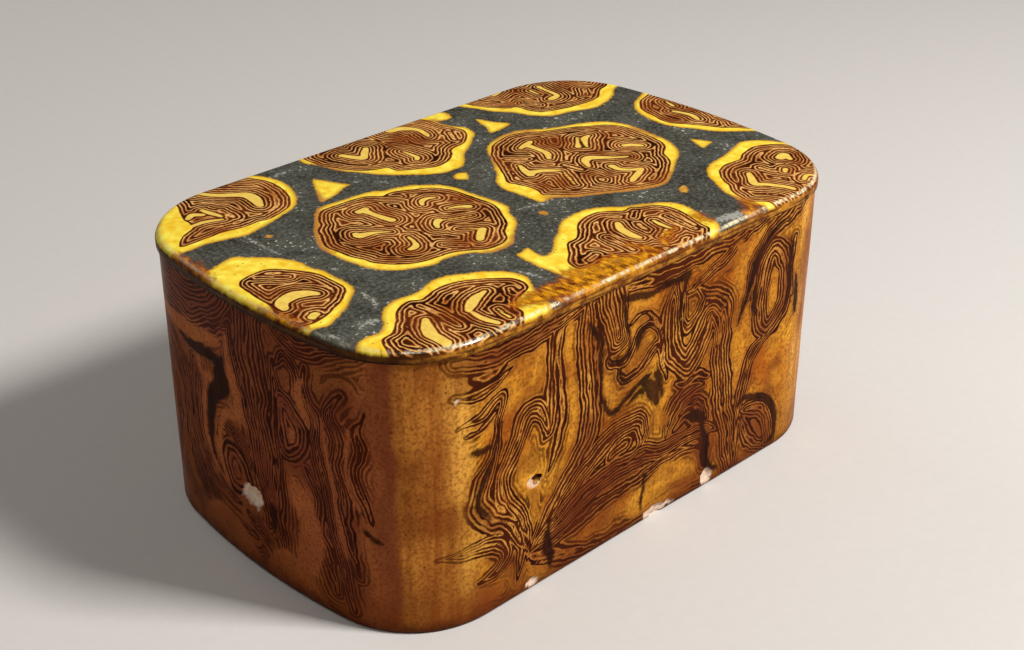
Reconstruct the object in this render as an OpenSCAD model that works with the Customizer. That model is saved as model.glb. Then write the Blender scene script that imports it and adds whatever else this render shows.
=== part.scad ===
// A hollow ceramic pillow built up from slabs of clay.
// Plain buff slabs make a closed box. Marbled sheets and plain corner strips cover its sides.
// A thin grey sheet with inlaid marbled roundels covers its top.
// Sizes are in millimetres, +Z is up, and the origin is the middle of the underside.

/* [Body] */
// Length of the top sheet over its bowed ends
body_l = 150; // [135:1:170]
// Width of the top sheet from front to back
body_w = 97; // [88:1:110]
// Height from the table to the top face
body_h = 69; // [55:1:85]
// Radius of the top sheet's upright corners
corner_r = 24; // [20:1:28]
// Radius of the gentle bow of the two short ends
end_r = 190; // [160:5:260]

/* [Clay box] */
// Thickness of the base slab
base_t = 7; // [5:0.5:10]
// Thickness of the four walls
wall_t = 6; // [4:0.5:8]
// Thickness of the slab under the top sheet
lid_t = 6; // [4:0.5:9]
// Height of the ledges that key the base and the lid inside the walls
key_h = 3; // [2:0.5:5]
// Angle round a corner where two walls meet, counted from the end of the pillow
mitre_a = 45; // [35:1:55]

/* [Side sheets] */
// Thickness of the marbled side sheets and of the corner strips
skin_t = 2.6; // [1.5:0.1:4]
// How far an end sheet runs on round each corner
end_wrap = 9.5; // [4:0.5:12]
// How far the front and back sheets run on round each corner
side_wrap = 4; // [1:0.5:8]

/* [Top sheet] */
// Thickness of the top sheet
sheet_t = 3; // [2.5:0.1:5]
// Radius of its worn top edge
edge_r = 2; // [1:0.1:2.2]
// How far it stands out over the sides
sheet_over = 0.4; // [0.2:0.1:1]

/* [Roundels] */
// Roundels in the length of the pillow, counting parts of one
columns = 2.8; // [2.6:0.05:3]
// Rows of roundels in the width of the pillow, counting parts of one
rows = 2.3; // [2.1:0.05:2.5]
// Width of the grey ground between two even neighbours
ground_gap = 6; // [5:0.5:9]
// Width of an even rim round a marbled core
rim_w = 2; // [1:0.1:2.5]
// One step of the hand layout, in which the shifts, bulges and chips below are counted
hand_step = 1; // [0.8:0.05:1.1]

/* [Vent] */
// Diameter of the firing vent in the front
vent_d = 4; // [2:0.5:8]
// Place of the vent along the front, from the middle
vent_x = -34.5; // [-42:0.5:42]
// Height of the vent
vent_z = 28.5; // [15:0.5:45]

/* [Hidden] */
$fn = 96;

// Middles of the bow of the right end and of the back right corner, and the angle where they pass over
half_l = body_l / 2;
half_w = body_w / 2;
bow_x = half_l - end_r;
corner_y = half_w - corner_r;
corner_x = bow_x + sqrt(pow(end_r - corner_r, 2) - pow(corner_y, 2));
join_a = atan2(corner_y, corner_x - bow_x);

// Depth of each layer behind the outline of the top sheet
skin_in = sheet_over;
wall_in = skin_in + skin_t;
room_in = wall_in + wall_t;

// Heights of the layers
sheet_z = body_h - sheet_t;
lid_z = sheet_z - lid_t;

// Angles round a corner where the corner strip starts and ends
strip_from_a = join_a + end_wrap / corner_r * 180 / PI;
strip_to_a = 90 - side_wrap / corner_r * 180 / PI;

// Slices of one marbled rod lie on a staggered lattice, and their size follows from the spacing
pitch_x = body_l / columns;
pitch_y = body_w / rows;
roundel_r = (min(pitch_x, norm([pitch_x / 2, pitch_y])) - ground_gap) / 2;
outline_step_a = 7.5;

// Straight steps in a corner, in the bow of an end and over the worn edge
corner_steps = 24;
end_steps = 12;
edge_steps = 4;

// Column, row and hand-laid shift of each roundel. Then, at even angles from +X round by +Y,
// how far its outline bulges and how much wider than an even rim its rim is.
ROUNDELS = [
    ["back_left", -1, 1, [-0.5, 2],
        [-1, -1, 0, 0, 2, 6, 0, 1],
        [0, 0, 0, 0.5, 2, 10, 13, 13.5, 14, 15.5, 7, 3, 0.5, 0, 0.5, 0.5]],
    ["back_middle", 0, 1, [0.5, -2.5],
        [-2, -1, 0, -1, -1.5, -5, 0, -1.5],
        [-0.5, 0, 0, 0, 0, 0.5, 1, 0.5]],
    ["back_right", 1, 1, [0.5, 3],
        [0, 0, 0, 0, 0.5, -2, 0.5, 1.5],
        [0, 0, 0, 0, 0.5, 1, 1, 1]],
    ["left_end", -1.5, 0, [3, -4],
        [0, 0.5, -3.5, 0, 0, 0, -2.5, 1],
        [0, 7, 7.5, 0, 0, 0, 1, 0]],
    ["centre_left", -0.5, 0, [1, 0],
        [-0.5, -1.5, -0.5, 1, 0, -1.5, -1.5, 0.5],
        [0, 0, -0.5, -0.5, 0, 1, 0, 0]],
    ["centre_right", 0.5, 0, [0.5, 0.5],
        [2.5, 2, 2, 0.5, 3, 0, 1.5, 1.5],
        [-0.5, 0, -0.5, 0, 1, 0, -0.5, 0]],
    ["right_end", 1.5, 0, [1.5, 2],
        [0, 0, -2, -1.5, 0, -1, -2, 0],
        [0, 0, 0, 0.5, 0.5, 0.5, 0, 0]],
    ["front_left", -1, -1, [4.5, -3],
        [0, 0.5, -1.5, -0.5, 2, 0, 0, 0],
        [0, 0.5, 1, 0.5, 1, 0, 0, 0]],
    ["front_middle", 0, -1, [4.5, 0],
        [-2, -1, -0.5, -1.5, 0.5, 0, 0, 0],
        [0, 0.5, 0.5, 1, 1, 0, 0, 0]],
    ["front_right", 1, -1, [4.5, -1],
        [0, 1.5, -1.5, -1.5, -0.5, 0, 0, 0],
        [0, 0.5, 0.5, 1, 0.5, 0, 0, 0]],
];
LAST_ROUNDEL = len(ROUNDELS) - 1;

// Chips that fill the ground: the roundels that each lies between, and its corners from their middle
CHIPS = [
    [[0, 1, 4], [[-0.5, 7], [4.5, -1], [-6.5, -4]]],
    [[1, 2, 5], [[-0.5, 8], [3.5, 0], [-4, -1.5]]],
    [[1, 4, 5], [[-3.5, 1], [1, 0.5], [-1.5, -3]]],
    [[5, 6, 9], [[0, 4], [3, -1], [-2, -1.5]]],
    [[5, 8, 9], [[-1, -0.5], [3.5, 1], [1, -2]]],
    [[4, 5, 8], [[-3.5, -0.5], [-1, -1], [-2.5, -3]]],
    [[0, 3, 4], [[-1.5, 4], [0.5, 3.5], [-0.5, 2]]],
    [[4, 7, 8], [[3, 2], [7.5, 3], [9, -4], [9.5, -11], [3, -12], [5, -5]]],
    [[1, 2], [[-10.5, 7], [-2.5, 7], [-6, 0]]],
];

// Outline curves

function flip_x(points) = [for (i = [len(points) - 1 : -1 : 0]) [-points[i].x, points[i].y]];

function flip_y(points) = [for (i = [len(points) - 1 : -1 : 0]) [points[i].x, -points[i].y]];

function turn_half(points) = [for (p = points) -p];

// A closed strip between an outer path and an inner one that runs the same way
function strip(outer, inner) = concat(outer, [for (i = [len(inner) - 1 : -1 : 0]) inner[i]]);

// The back right corner, at a depth behind the outline of the top sheet
function corner_arc(inset, from_a, to_a) = [
    for (k = [0 : corner_steps])
        let (a = from_a + (to_a - from_a) * k / corner_steps)
            [corner_x, corner_y] + (corner_r - inset) * [cos(a), sin(a)]
];

// The bow of the right end, without the points that it shares with the corners
function end_arc(inset) = [
    for (k = [1 : end_steps - 1])
        let (a = join_a * (2 * k / end_steps - 1))
            [bow_x, 0] + (end_r - inset) * [cos(a), sin(a)]
];

// Round the right end from its front corner to its back corner
function right_path(inset, to_a) =
    let (corner = corner_arc(inset, join_a, to_a))
        concat(flip_y(corner), end_arc(inset), corner);

// Along the back from its right corner to its left corner
function back_path(inset, from_a) =
    let (corner = corner_arc(inset, from_a, 90))
        concat(corner, flip_x(corner));

function plan(inset) =
    let (half = right_path(inset, 90))
        concat(half, turn_half(half));

// A smooth wave through values that lie at even angles round a circle
function wave(values, angle) =
    let (
        n = len(values),
        at = angle * n / 360,
        i = floor(at),
        f = at - i,
        a = values[(i + n - 1) % n],
        b = values[i % n],
        c = values[(i + 1) % n],
        d = values[(i + 2) % n]
    )
    b + f / 2 * (c - a + f * (2 * a - 5 * b + 4 * c - d + f * (3 * (b - c) + d - a)));

function roundel_centre(i) =
    let (r = ROUNDELS[i])
        [r[1] * pitch_x, r[2] * pitch_y] + r[3] * hand_step;

function rim_radius(i, a) = roundel_r + wave(ROUNDELS[i][4], a) * hand_step;

function core_radius(i, a) = rim_radius(i, a) - rim_w - wave(ROUNDELS[i][5], a) * hand_step;

function rim_outline(i) = [
    for (a = [0 : outline_step_a : 360 - outline_step_a])
        roundel_centre(i) + rim_radius(i, a) * [cos(a), sin(a)]
];

function core_outline(i) = [
    for (a = [0 : outline_step_a : 360 - outline_step_a])
        roundel_centre(i) + core_radius(i, a) * [cos(a), sin(a)]
];

function mean_point(points) = [for (p = points) 1 / len(points)] * points;

function chip_outline(chip) =
    let (middle = mean_point([for (i = chip[0]) roundel_centre(i)]))
        [for (corner = chip[1]) middle + corner * hand_step];

// The clay box

module standing(low, high, outline) {
    translate([0, 0, low])
        linear_extrude(high - low)
            polygon(outline);
}

module base_slab() {
    color("burlywood") {
        standing(0, base_t, plan(wall_in));
        standing(base_t, base_t + key_h, plan(room_in));
    }
}

module lid_slab() {
    color("burlywood") {
        standing(lid_z, sheet_z, plan(wall_in));
        standing(lid_z - key_h, lid_z, plan(room_in));
    }
}

module back_wall() {
    color("tan")
        standing(base_t, lid_z, strip(back_path(wall_in, mitre_a), back_path(room_in, mitre_a)));
}

module right_wall() {
    color("tan")
        standing(base_t, lid_z, strip(right_path(wall_in, mitre_a), right_path(room_in, mitre_a)));
}

module left_wall() {
    mirror([1, 0, 0])
        right_wall();
}

module front_wall() {
    difference() {
        mirror([0, 1, 0])
            back_wall();
        vent_bore();
    }
}

module vent_bore() {
    translate([vent_x, -half_w, vent_z])
        rotate([90, 0, 0])
            cylinder(d = vent_d, h = 2 * room_in + vent_d, center = true);
}

// The sides

module back_sheet() {
    color("sienna")
        standing(0, sheet_z, strip(back_path(skin_in, strip_to_a), back_path(wall_in, strip_to_a)));
}

module front_sheet() {
    difference() {
        mirror([0, 1, 0])
            back_sheet();
        vent_bore();
    }
}

module right_sheet() {
    color("sienna")
        standing(0, sheet_z, strip(right_path(skin_in, strip_from_a), right_path(wall_in, strip_from_a)));
}

module left_sheet() {
    mirror([1, 0, 0])
        right_sheet();
}

module back_right_strip() {
    color("peru")
        standing(0, sheet_z, strip(
            corner_arc(skin_in, strip_from_a, strip_to_a),
            corner_arc(wall_in, strip_from_a, strip_to_a)
        ));
}

module back_left_strip() {
    mirror([1, 0, 0])
        back_right_strip();
}

module front_right_strip() {
    mirror([0, 1, 0])
        back_right_strip();
}

module front_left_strip() {
    mirror([1, 0, 0])
        front_right_strip();
}

// The top sheet

// The whole sheet, with rings of the outline stepping in over its worn edge
module sheet_form() {
    rings = concat([[0, sheet_z]], [
        for (k = [0 : edge_steps])
            let (a = 90 * k / edge_steps)
                [edge_r * (1 - cos(a)), body_h - edge_r + edge_r * sin(a)]
    ]);
    n = len(plan(0));
    last = len(rings) - 1;
    polyhedron(
        points = [for (ring = rings) for (p = plan(ring[0])) [p.x, p.y, ring[1]]],
        faces = concat(
            [[for (i = [0 : n - 1]) i]],
            [for (k = [0 : last - 1]) for (i = [0 : n - 1])
                let (next = (i + 1) % n)
                    [k * n + i, (k + 1) * n + i, (k + 1) * n + next, k * n + next]],
            [[for (i = [n - 1 : -1 : 0]) last * n + i]]
        )
    );
}

module inlay(outline) {
    standing(sheet_z, body_h, outline);
}

module top_ground() {
    color("dimgray")
        difference() {
            sheet_form();
            for (i = [0 : LAST_ROUNDEL])
                inlay(rim_outline(i));
            for (chip = CHIPS)
                inlay(chip_outline(chip));
        }
}

module filler_chips() {
    color("gold")
        difference() {
            intersection() {
                sheet_form();
                for (chip = CHIPS)
                    inlay(chip_outline(chip));
            }
            for (i = [0 : LAST_ROUNDEL])
                inlay(rim_outline(i));
        }
}

module rim(i) {
    color("gold")
        difference() {
            intersection() {
                sheet_form();
                inlay(rim_outline(i));
            }
            inlay(core_outline(i));
        }
}

module core(i) {
    color("saddlebrown")
        intersection() {
            sheet_form();
            inlay(core_outline(i));
        }
}

base_slab();
front_wall();
back_wall();
left_wall();
right_wall();
lid_slab();
front_sheet();
back_sheet();
left_sheet();
right_sheet();
front_left_strip();
front_right_strip();
back_left_strip();
back_right_strip();
top_ground();
filler_chips();
for (i = [0 : LAST_ROUNDEL]) {
    rim(i);
    core(i);
}
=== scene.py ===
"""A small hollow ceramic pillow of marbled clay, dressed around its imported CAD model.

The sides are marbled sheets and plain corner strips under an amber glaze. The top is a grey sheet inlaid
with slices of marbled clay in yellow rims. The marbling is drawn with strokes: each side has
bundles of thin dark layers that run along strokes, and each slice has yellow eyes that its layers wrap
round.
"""
import math

import bpy
import numpy as np
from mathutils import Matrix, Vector
from mathutils.geometry import delaunay_2d_cdt


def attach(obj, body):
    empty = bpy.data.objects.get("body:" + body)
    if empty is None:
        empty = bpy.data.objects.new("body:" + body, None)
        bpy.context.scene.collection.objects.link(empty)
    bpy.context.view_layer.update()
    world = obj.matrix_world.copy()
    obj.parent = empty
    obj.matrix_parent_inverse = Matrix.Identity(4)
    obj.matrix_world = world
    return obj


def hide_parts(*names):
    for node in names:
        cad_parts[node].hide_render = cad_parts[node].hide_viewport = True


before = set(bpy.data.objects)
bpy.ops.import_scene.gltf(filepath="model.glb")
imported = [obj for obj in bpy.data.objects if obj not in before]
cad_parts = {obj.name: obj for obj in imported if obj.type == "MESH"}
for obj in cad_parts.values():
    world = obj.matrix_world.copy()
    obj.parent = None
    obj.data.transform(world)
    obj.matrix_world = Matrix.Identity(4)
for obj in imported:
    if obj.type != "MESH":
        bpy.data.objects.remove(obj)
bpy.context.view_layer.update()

MM = 0.001

# Sizes of the body, in millimetres, as the CAD model has them
HALF_L = 75
HALF_W = 48.5
CORNER_R = 24
END_R = 190
TOP_Z = 69
SHEET_Z = 66
EDGE_R = 2
SKIN_IN = 0.4
SKIN_T = 2.6
END_WRAP = 9.5
SIDE_WRAP = 4
BOW_X = HALF_L - END_R
CORNER_Y = HALF_W - CORNER_R
CORNER_X = BOW_X + math.sqrt((END_R - CORNER_R) ** 2 - CORNER_Y ** 2)
JOIN_A = math.atan2(CORNER_Y, CORNER_X - BOW_X)
VENT_X = -34.5
VENT_Z = 28.5
VENT_R = 1.4

# Sizes of the dressed pieces: the cells of the sides and of the top, the worn radius of the foot, and the
# bevel at the top of the sides
CELL = 0.5
TOP_CELL = 0.55
FOOT_R = 1.3
BEVEL = 0.2

# The marbling: how much wider a bundle is than its stroke, how close its lines lie, the pitch of the lines
# outside a bundle, the least pitch inside one, and the pitch and the soft joins of the layers in a slice
BAND_SWELL = 1.2
CLOSENESS = 1.3
LAYER = 1.1
LEAST_LAYER = 0.7
SLICE_LAYER = 0.95
SLICE_BLEND = 0.25

# Far from every stroke: the count of layers, below nothing, and the distance
NO_LAYERS = -12.0
FAR = 40.0

# Swells of the wandering before it repeats
SWELLS = 64


# Strokes of the marbling

# Front, seen from outside. Each bundle is its count of lines, then x, z and half width of each point.
# A stroke that ends where it starts is a closed loop.
FRONT_BANDS = [
    [5, (-56, 49, 0.5), (-51, 50.6, 1.2), (-46.4, 53.4, 1.3), (-44.4, 52, 1.2), (-46, 46.5, 1.2),
     (-47.5, 40, 1.6), (-50.5, 34, 2.8), (-51, 29, 3.4), (-47.5, 24, 3.2), (-43, 19.5, 2.8),
     (-39.5, 14, 1.8), (-37, 9, 0.5)],
    [3, (-57, 57, 1.2), (-52, 56.4, 1.4), (-47, 56.6, 1.1), (-42, 58.4, 0.3)],
    [5, (-31.8, 39.5, 1.4), (-34.5, 44.5, 2.4), (-37.5, 46, 2.8), (-40, 43, 2.6), (-42.3, 38, 2.6),
     (-44.8, 33.5, 2.4), (-44, 28.5, 2.4), (-41.3, 22.5, 2.2), (-38.3, 16.5, 1.8), (-36.6, 10, 0.5)],
    [3, (-31.6, 38.5, 1.2), (-31, 45, 1.8), (-30.6, 52, 2), (-30.4, 60, 2.2), (-30, 67, 2.2)],
    [2, (-28, 66, 1.2), (-28, 50, 1.3), (-28, 42, 1.4), (-28.6, 36, 1.4), (-30.4, 30.5, 0.8),
     (-32, 28, 0.2)],
    [5, (-57, 64, 2.4), (-47, 62.4, 2.6), (-40, 63, 2.2), (-33, 64, 2), (-25, 65, 2), (-15, 67, 2)],
    [5, (-21.4, 67, 2), (-20.6, 60, 2.6), (-20, 53, 2.8), (-19, 45, 3), (-18.2, 38, 3), (-19.2, 32, 3),
     (-23.6, 26.5, 2.8), (-28, 22, 2.6), (-31.5, 17.5, 2.2), (-35, 13.5, 1.6), (-38, 8, 0.4)],
    [8, (-14, 69, 4.6), (-12.3, 60, 4.2), (-10, 53.6, 3.4)],
    [2, (-5.8, 55.6, 0.5), (-4.2, 56.8, 0.8), (-2, 57.2, 0.9), (0.2, 56.4, 0.9), (1.6, 54, 0.9),
     (2.8, 51, 0.9), (4.4, 47, 0.9), (5.4, 43, 0.7)],
    [3, (-13, 50, 0.6), (-11.6, 47.6, 1.1), (-8, 46.6, 1.2), (-5.4, 48.4, 1), (-3.8, 51.6, 1.1),
     (-1.4, 53.4, 1.2), (0.8, 52.4, 1.1), (2.2, 49.4, 1), (3.6, 45.4, 0.9), (4.6, 41.6, 0.6)],
    [3, (-9.8, 46, 0.5), (-9.2, 42.4, 1), (-6.6, 41.4, 1.1), (-2.6, 43.4, 1.2), (0.8, 46, 1.2),
     (2.2, 46.4, 1), (3.6, 43.6, 0.9), (4.8, 40, 0.8), (5.6, 36, 0.5)],
    [6, (7, 60.4, 1.2), (6.4, 57, 2.2), (6, 52, 3), (7.4, 45, 3.4), (10, 40.4, 3.6), (13.6, 38, 3.8),
     (17, 41, 3.4), (19.6, 46, 3), (21.4, 48.6, 2.4), (23, 45, 2.2), (24, 39, 2)],
    [3, (10.6, 58, 0.6), (11, 50, 1.2), (13, 46.6, 1.5), (16.4, 48.6, 1.3), (19, 54, 0.6)],
    [3, (14, 57, 0.5), (19, 53.4, 1.4), (24, 51.8, 1.6), (26.8, 47, 1.4), (27.4, 40, 1)],
    [6, (25, 47, 1.4), (25.6, 38, 3.2), (26.6, 28, 3.4), (28, 18, 3), (29.8, 9, 2.2), (31.6, -2, 1.6)],
    [4, (10, 56.4, 0.4), (14, 55.6, 1), (19, 58.4, 1.6), (25, 61, 1.6), (33, 65, 1.2)],
    [3, (-10, 64.4, 0.7), (-2, 63.6, 0.9), (8, 63.6, 0.9), (16, 63, 0.5)],
    [4, (-12, 66.6, 1.4), (0, 65.8, 1.8), (12, 65, 2), (24, 64.4, 2.2), (34, 65.8, 1.8), (46, 67, 1.4)],
    [5, (43.5, 56.5, 2.6), (47.2, 52, 2.8), (47.8, 45, 2.8), (45.8, 38.5, 2.8), (42, 35.5, 2.4),
     (38.6, 39.5, 2.4), (38, 47, 2.4), (40, 53.5, 2.6), (43.5, 56.5, 2.6)],
    [4, (30.6, 40.6, 0.3), (32.6, 47, 1), (35.5, 55, 1.7), (40, 60.4, 1.9), (47, 63.5, 2), (55, 68, 2)],
    [4, (45, 35, 0.8), (40.6, 33, 1.8), (37, 30, 2), (35, 25, 2), (33.4, 20, 1.7), (32.8, 13, 1),
     (32.4, 4, 0.6)],
    [5, (34, 16.6, 1), (38, 15.6, 2.4), (42.6, 12.8, 2.8), (45.4, 8, 2.6), (46, 2, 2)],
    [4, (34.4, 15, 1), (36.4, 9, 2.2), (39.6, 4.6, 2), (44, 2, 1.4)],
    [6, (-36, 13, 0.8), (-27, 18.6, 2.4), (-20.5, 23.5, 2.8), (-14, 27.6, 3), (-7.5, 30, 2.6),
     (-3, 29, 2.2), (-1.6, 24.6, 1.8), (-3, 21, 0.6)],
    [4, (-11, 24.4, 2), (-6.8, 25, 2.4)],
    [6, (-36, 10.6, 0.8), (-25, 15.2, 2.8), (-17, 18.8, 3.2), (-9, 20, 3), (-2, 19.2, 2.8), (5, 17.8, 2.6),
     (13, 17.6, 2.6), (21, 17, 2.2), (25, 15, 0.6)],
    [3, (-33, 8.6, 0.8), (-20, 11.8, 1.8), (-10, 13.2, 1.7), (-2, 13, 1.5), (5, 14.6, 1.2), (13, 14, 1),
     (20, 12, 0.6)],
    [5, (-61, 18.4, 0.6), (-55, 18.8, 1.6), (-49, 18.4, 2.2), (-45, 16, 2.2), (-44, 12.6, 1.8),
     (-46.6, 10.4, 1.2), (-52, 9.6, 0.6)],
    [3, (-41.4, 22, 1), (-39.8, 16, 1.6), (-39.6, 10, 1.4), (-40.6, 5, 0.6)],
    [2, (-57, 6, 0.4), (-51, 6.4, 0.9), (-45, 5, 0.6)],
    [2, (-36, 7, 0.4), (-28, 4.4, 1.1), (-18, 2.6, 1.1), (-8, 1.8, 1), (6, 1, 0.9), (20, 1, 0.8)],
    [3, (20, 30, 0.6), (16, 31, 1.4), (11, 29.6, 1.8), (8, 25, 1.2), (7, 21, 0.4)],
    [3, (11, 25, 0.6), (16, 26.6, 1.2), (20, 25, 1.2), (22, 20, 1)],
    [2, (-36.4, 26, 1), (-34.8, 21, 0.9), (-33.6, 17, 0.2)],
    [2, (-18, 60, 0.8), (-17, 53, 1.6), (-16.4, 46, 1.6), (-15.6, 40, 1.2)],
    [3, (9, 33.6, 0.8), (13, 33, 1.6), (18, 34, 1.8), (21.6, 32, 1.2)],
    [2, (10, 22, 1), (13.6, 24, 2), (17, 20, 2.2), (21, 14.6, 2), (22, 8, 1.2)],
    [2, (-36, 9, 1.4), (-31, 7, 2), (-26, 5.4, 1.4), (-20, 3.4, 0.8)],
    [2, (36.6, 44, 1), (39, 37.6, 1.6), (44, 34.6, 1.6), (48, 38, 1.2)],
    [2, (-53, 60, 1.4), (-49, 59.4, 1.6), (-44, 60.4, 1.2)],
    [2, (-54, 46.6, 0.6), (-50, 48.4, 0.9), (-46.6, 50.8, 0.5)],
    [2, (50.6, 58, 1), (50.2, 50, 1.2), (50.4, 42, 1)],
]

# Dark patches, plain honey places and murky places of the front: x, z and half width of each point
FRONT_DARKS = [
    [(-20.6, 60.6, 0.4), (-18, 57.6, 0.7), (-15.6, 53.6, 0.6), (-14.8, 49, 0.5), (-14.6, 44, 0.4),
     (-14.4, 40, 0.6), (-13, 36.4, 0.8), (-11, 35.6, 0.8), (-7, 37, 0.7), (-3, 39.2, 0.8), (0, 40, 0.7)],
    [(-1.4, 38.6, 1.2), (0.6, 36.6, 1.7), (2.2, 34, 1.8), (3, 31.4, 0.9)],
    [(2.4, 39.4, 1), (3.6, 36, 0.9), (4.4, 32.6, 0.5)],
    [(-6, 36, 0.3), (-3, 36.8, 0.8), (-1, 35.4, 0.7)],
    [(-9.6, 62.2, 0.8), (-5, 61.6, 1), (0, 61.2, 0.8), (6, 61.6, 0.9), (11, 61, 1.2), (10.6, 58.6, 0.8),
     (9.4, 55, 0.5), (8.8, 50, 0.3)],
    [(-9.4, 62, 0.8), (-8, 58.6, 0.7), (-6.6, 55, 0.5), (-6, 51, 0.4), (-6.6, 48.2, 0.6),
     (-9.4, 47.4, 0.7), (-12.6, 49.4, 0.4)],
    [(-4, 48.2, 0.4), (-3.2, 51, 0.9), (-1.6, 52.8, 0.8), (0.4, 52.4, 0.5), (2, 49.4, 0.2)],
    [(-9.4, 45, 0.3), (-9, 41.4, 0.6), (-6.6, 40.8, 0.3)],
    [(30.8, 41, 0.3), (33.2, 48, 0.7), (36, 54.6, 1.2), (38.6, 58.6, 1.1), (43, 61.6, 0.6),
     (48, 63.4, 0.3)],
    [(36.2, 50, 0.4), (36, 46, 1), (36.6, 41, 0.6)],
    [(49, 58, 0.4), (49.6, 52, 0.8), (49.4, 45, 0.9), (47.6, 38.6, 0.5)],
    [(32.8, 18.6, 0.4), (35, 19.6, 0.8), (38.6, 18.6, 1.1), (43, 16.2, 1.4), (46.8, 13.4, 1.5),
     (48.8, 8.6, 1), (48.6, 3.6, 0.6), (46, 1.6, 0.4)],
    [(14, 23.6, 0.8), (17, 22.6, 1.8), (19.6, 21.6, 1.4), (22, 20, 0.3)],
    [(-53, 43, 0.6), (-50.4, 42.8, 0.9), (-48.6, 43, 0.6), (-47.8, 42, 0.2)],
    [(0.6, 13, 0.6), (-0.6, 8, 0.5), (-0.8, 4, 0.2)],
    [(-46, 47, 0.2), (-47.6, 40, 0.5), (-50.8, 34, 0.7), (-51.4, 29, 0.8), (-48, 24.2, 0.4)],
    [(52.6, 46.6, 0.6), (53, 41, 1.4), (52.6, 36, 0.6)],
    [(20, 20, 0.8), (21.4, 14, 1), (22.6, 8, 1.2), (26, 4, 0.6)],
    [(-31, 16, 0.4), (-31.6, 11, 1.3), (-30.6, 6.4, 1), (-30, 3.6, 0.4)],
]
FRONT_HONEYS = [
    [(-41, 57, 1), (-37, 55, 3.6), (-35, 51, 1.4)],
    [(-38, 39, 0.6), (-38, 34, 2.2), (-36.4, 28, 2), (-35, 21, 1), (-34, 17, 0.3)],
    [(-25.6, 63, 0.6), (-25, 52, 1.2), (-24, 42, 1.4), (-23.6, 35, 1.2), (-26.6, 28.6, 1),
     (-31, 22.6, 0.8), (-34, 17.5, 0.3)],
    [(-14, 47, 0.4), (-12.6, 42, 1.6), (-10.6, 39, 0.5)],
    [(-7, 59.2, 0.4), (-3, 59.2, 0.7), (2, 58.8, 0.5)],
    [(-7.6, 44.6, 0.4), (-4, 46.4, 0.7), (-1, 49.2, 0.7), (0.4, 49.4, 0.3)],
    [(-10.4, 38.4, 0.4), (-7, 39.4, 0.4), (-3, 41.4, 0.4), (1, 43.4, 0.5), (2.6, 42.6, 0.3)],
    [(2, 28, 0.5), (5, 27, 2), (8, 26, 0.6)],
    [(-22, 7, 0.4), (-14, 8, 1.8), (-4, 8.4, 1.8)],
    [(1.5, 8, 1.4), (9, 8.6, 2.2), (17, 8, 1.6)],
    [(39, 28, 0.6), (44, 24, 3.6), (49, 25, 3)],
    [(33.5, 42, 0.4), (34.5, 36, 1.6), (33, 30, 0.6)],
    [(43, 48, 0.4), (43, 44, 1.4), (42.6, 40.5, 0.8)],
    [(30, 63, 0.8), (31.5, 55, 1.4), (30.5, 48, 0.4)],
    [(-62, 7, 1.4), (-55, 6.6, 2), (-46, 5, 1.4)],
]
FRONT_MURKS = [
    [(-31, 10, 1.4), (-24, 14, 3.6), (-16, 17.4, 4), (-8, 18.6, 3.4), (0, 18, 2.6), (8, 19, 2.6),
     (15, 21, 2.6)],
    [(9, 31, 1.6), (14, 29, 3), (18, 25, 3), (20, 18, 2.4), (22, 8, 1.8)],
    [(36, 14, 2), (41, 10, 3.6), (45, 4, 2.6)],
    [(48, 57, 1.6), (48.8, 48, 2), (47, 40, 2), (41, 36, 1.4)],
    [(34, 50, 0.8), (37, 57, 1.6), (42, 60.6, 1.6)],
    [(-48, 14, 1.2), (-42, 10, 1.8), (-39, 5, 1.2)],
    [(-17, 57, 0.8), (-16, 48, 1.4), (-15.4, 40, 1.4)],
    [(-52, 34, 1), (-52, 27, 1.4), (-46, 21, 1.2)],
    [(-24, 24, 1), (-19.6, 29, 1.6), (-18.4, 36, 1.2)],
    [(-57, 64, 1.4), (-44, 63, 1.8), (-30, 64.6, 1.6)],
]

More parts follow.
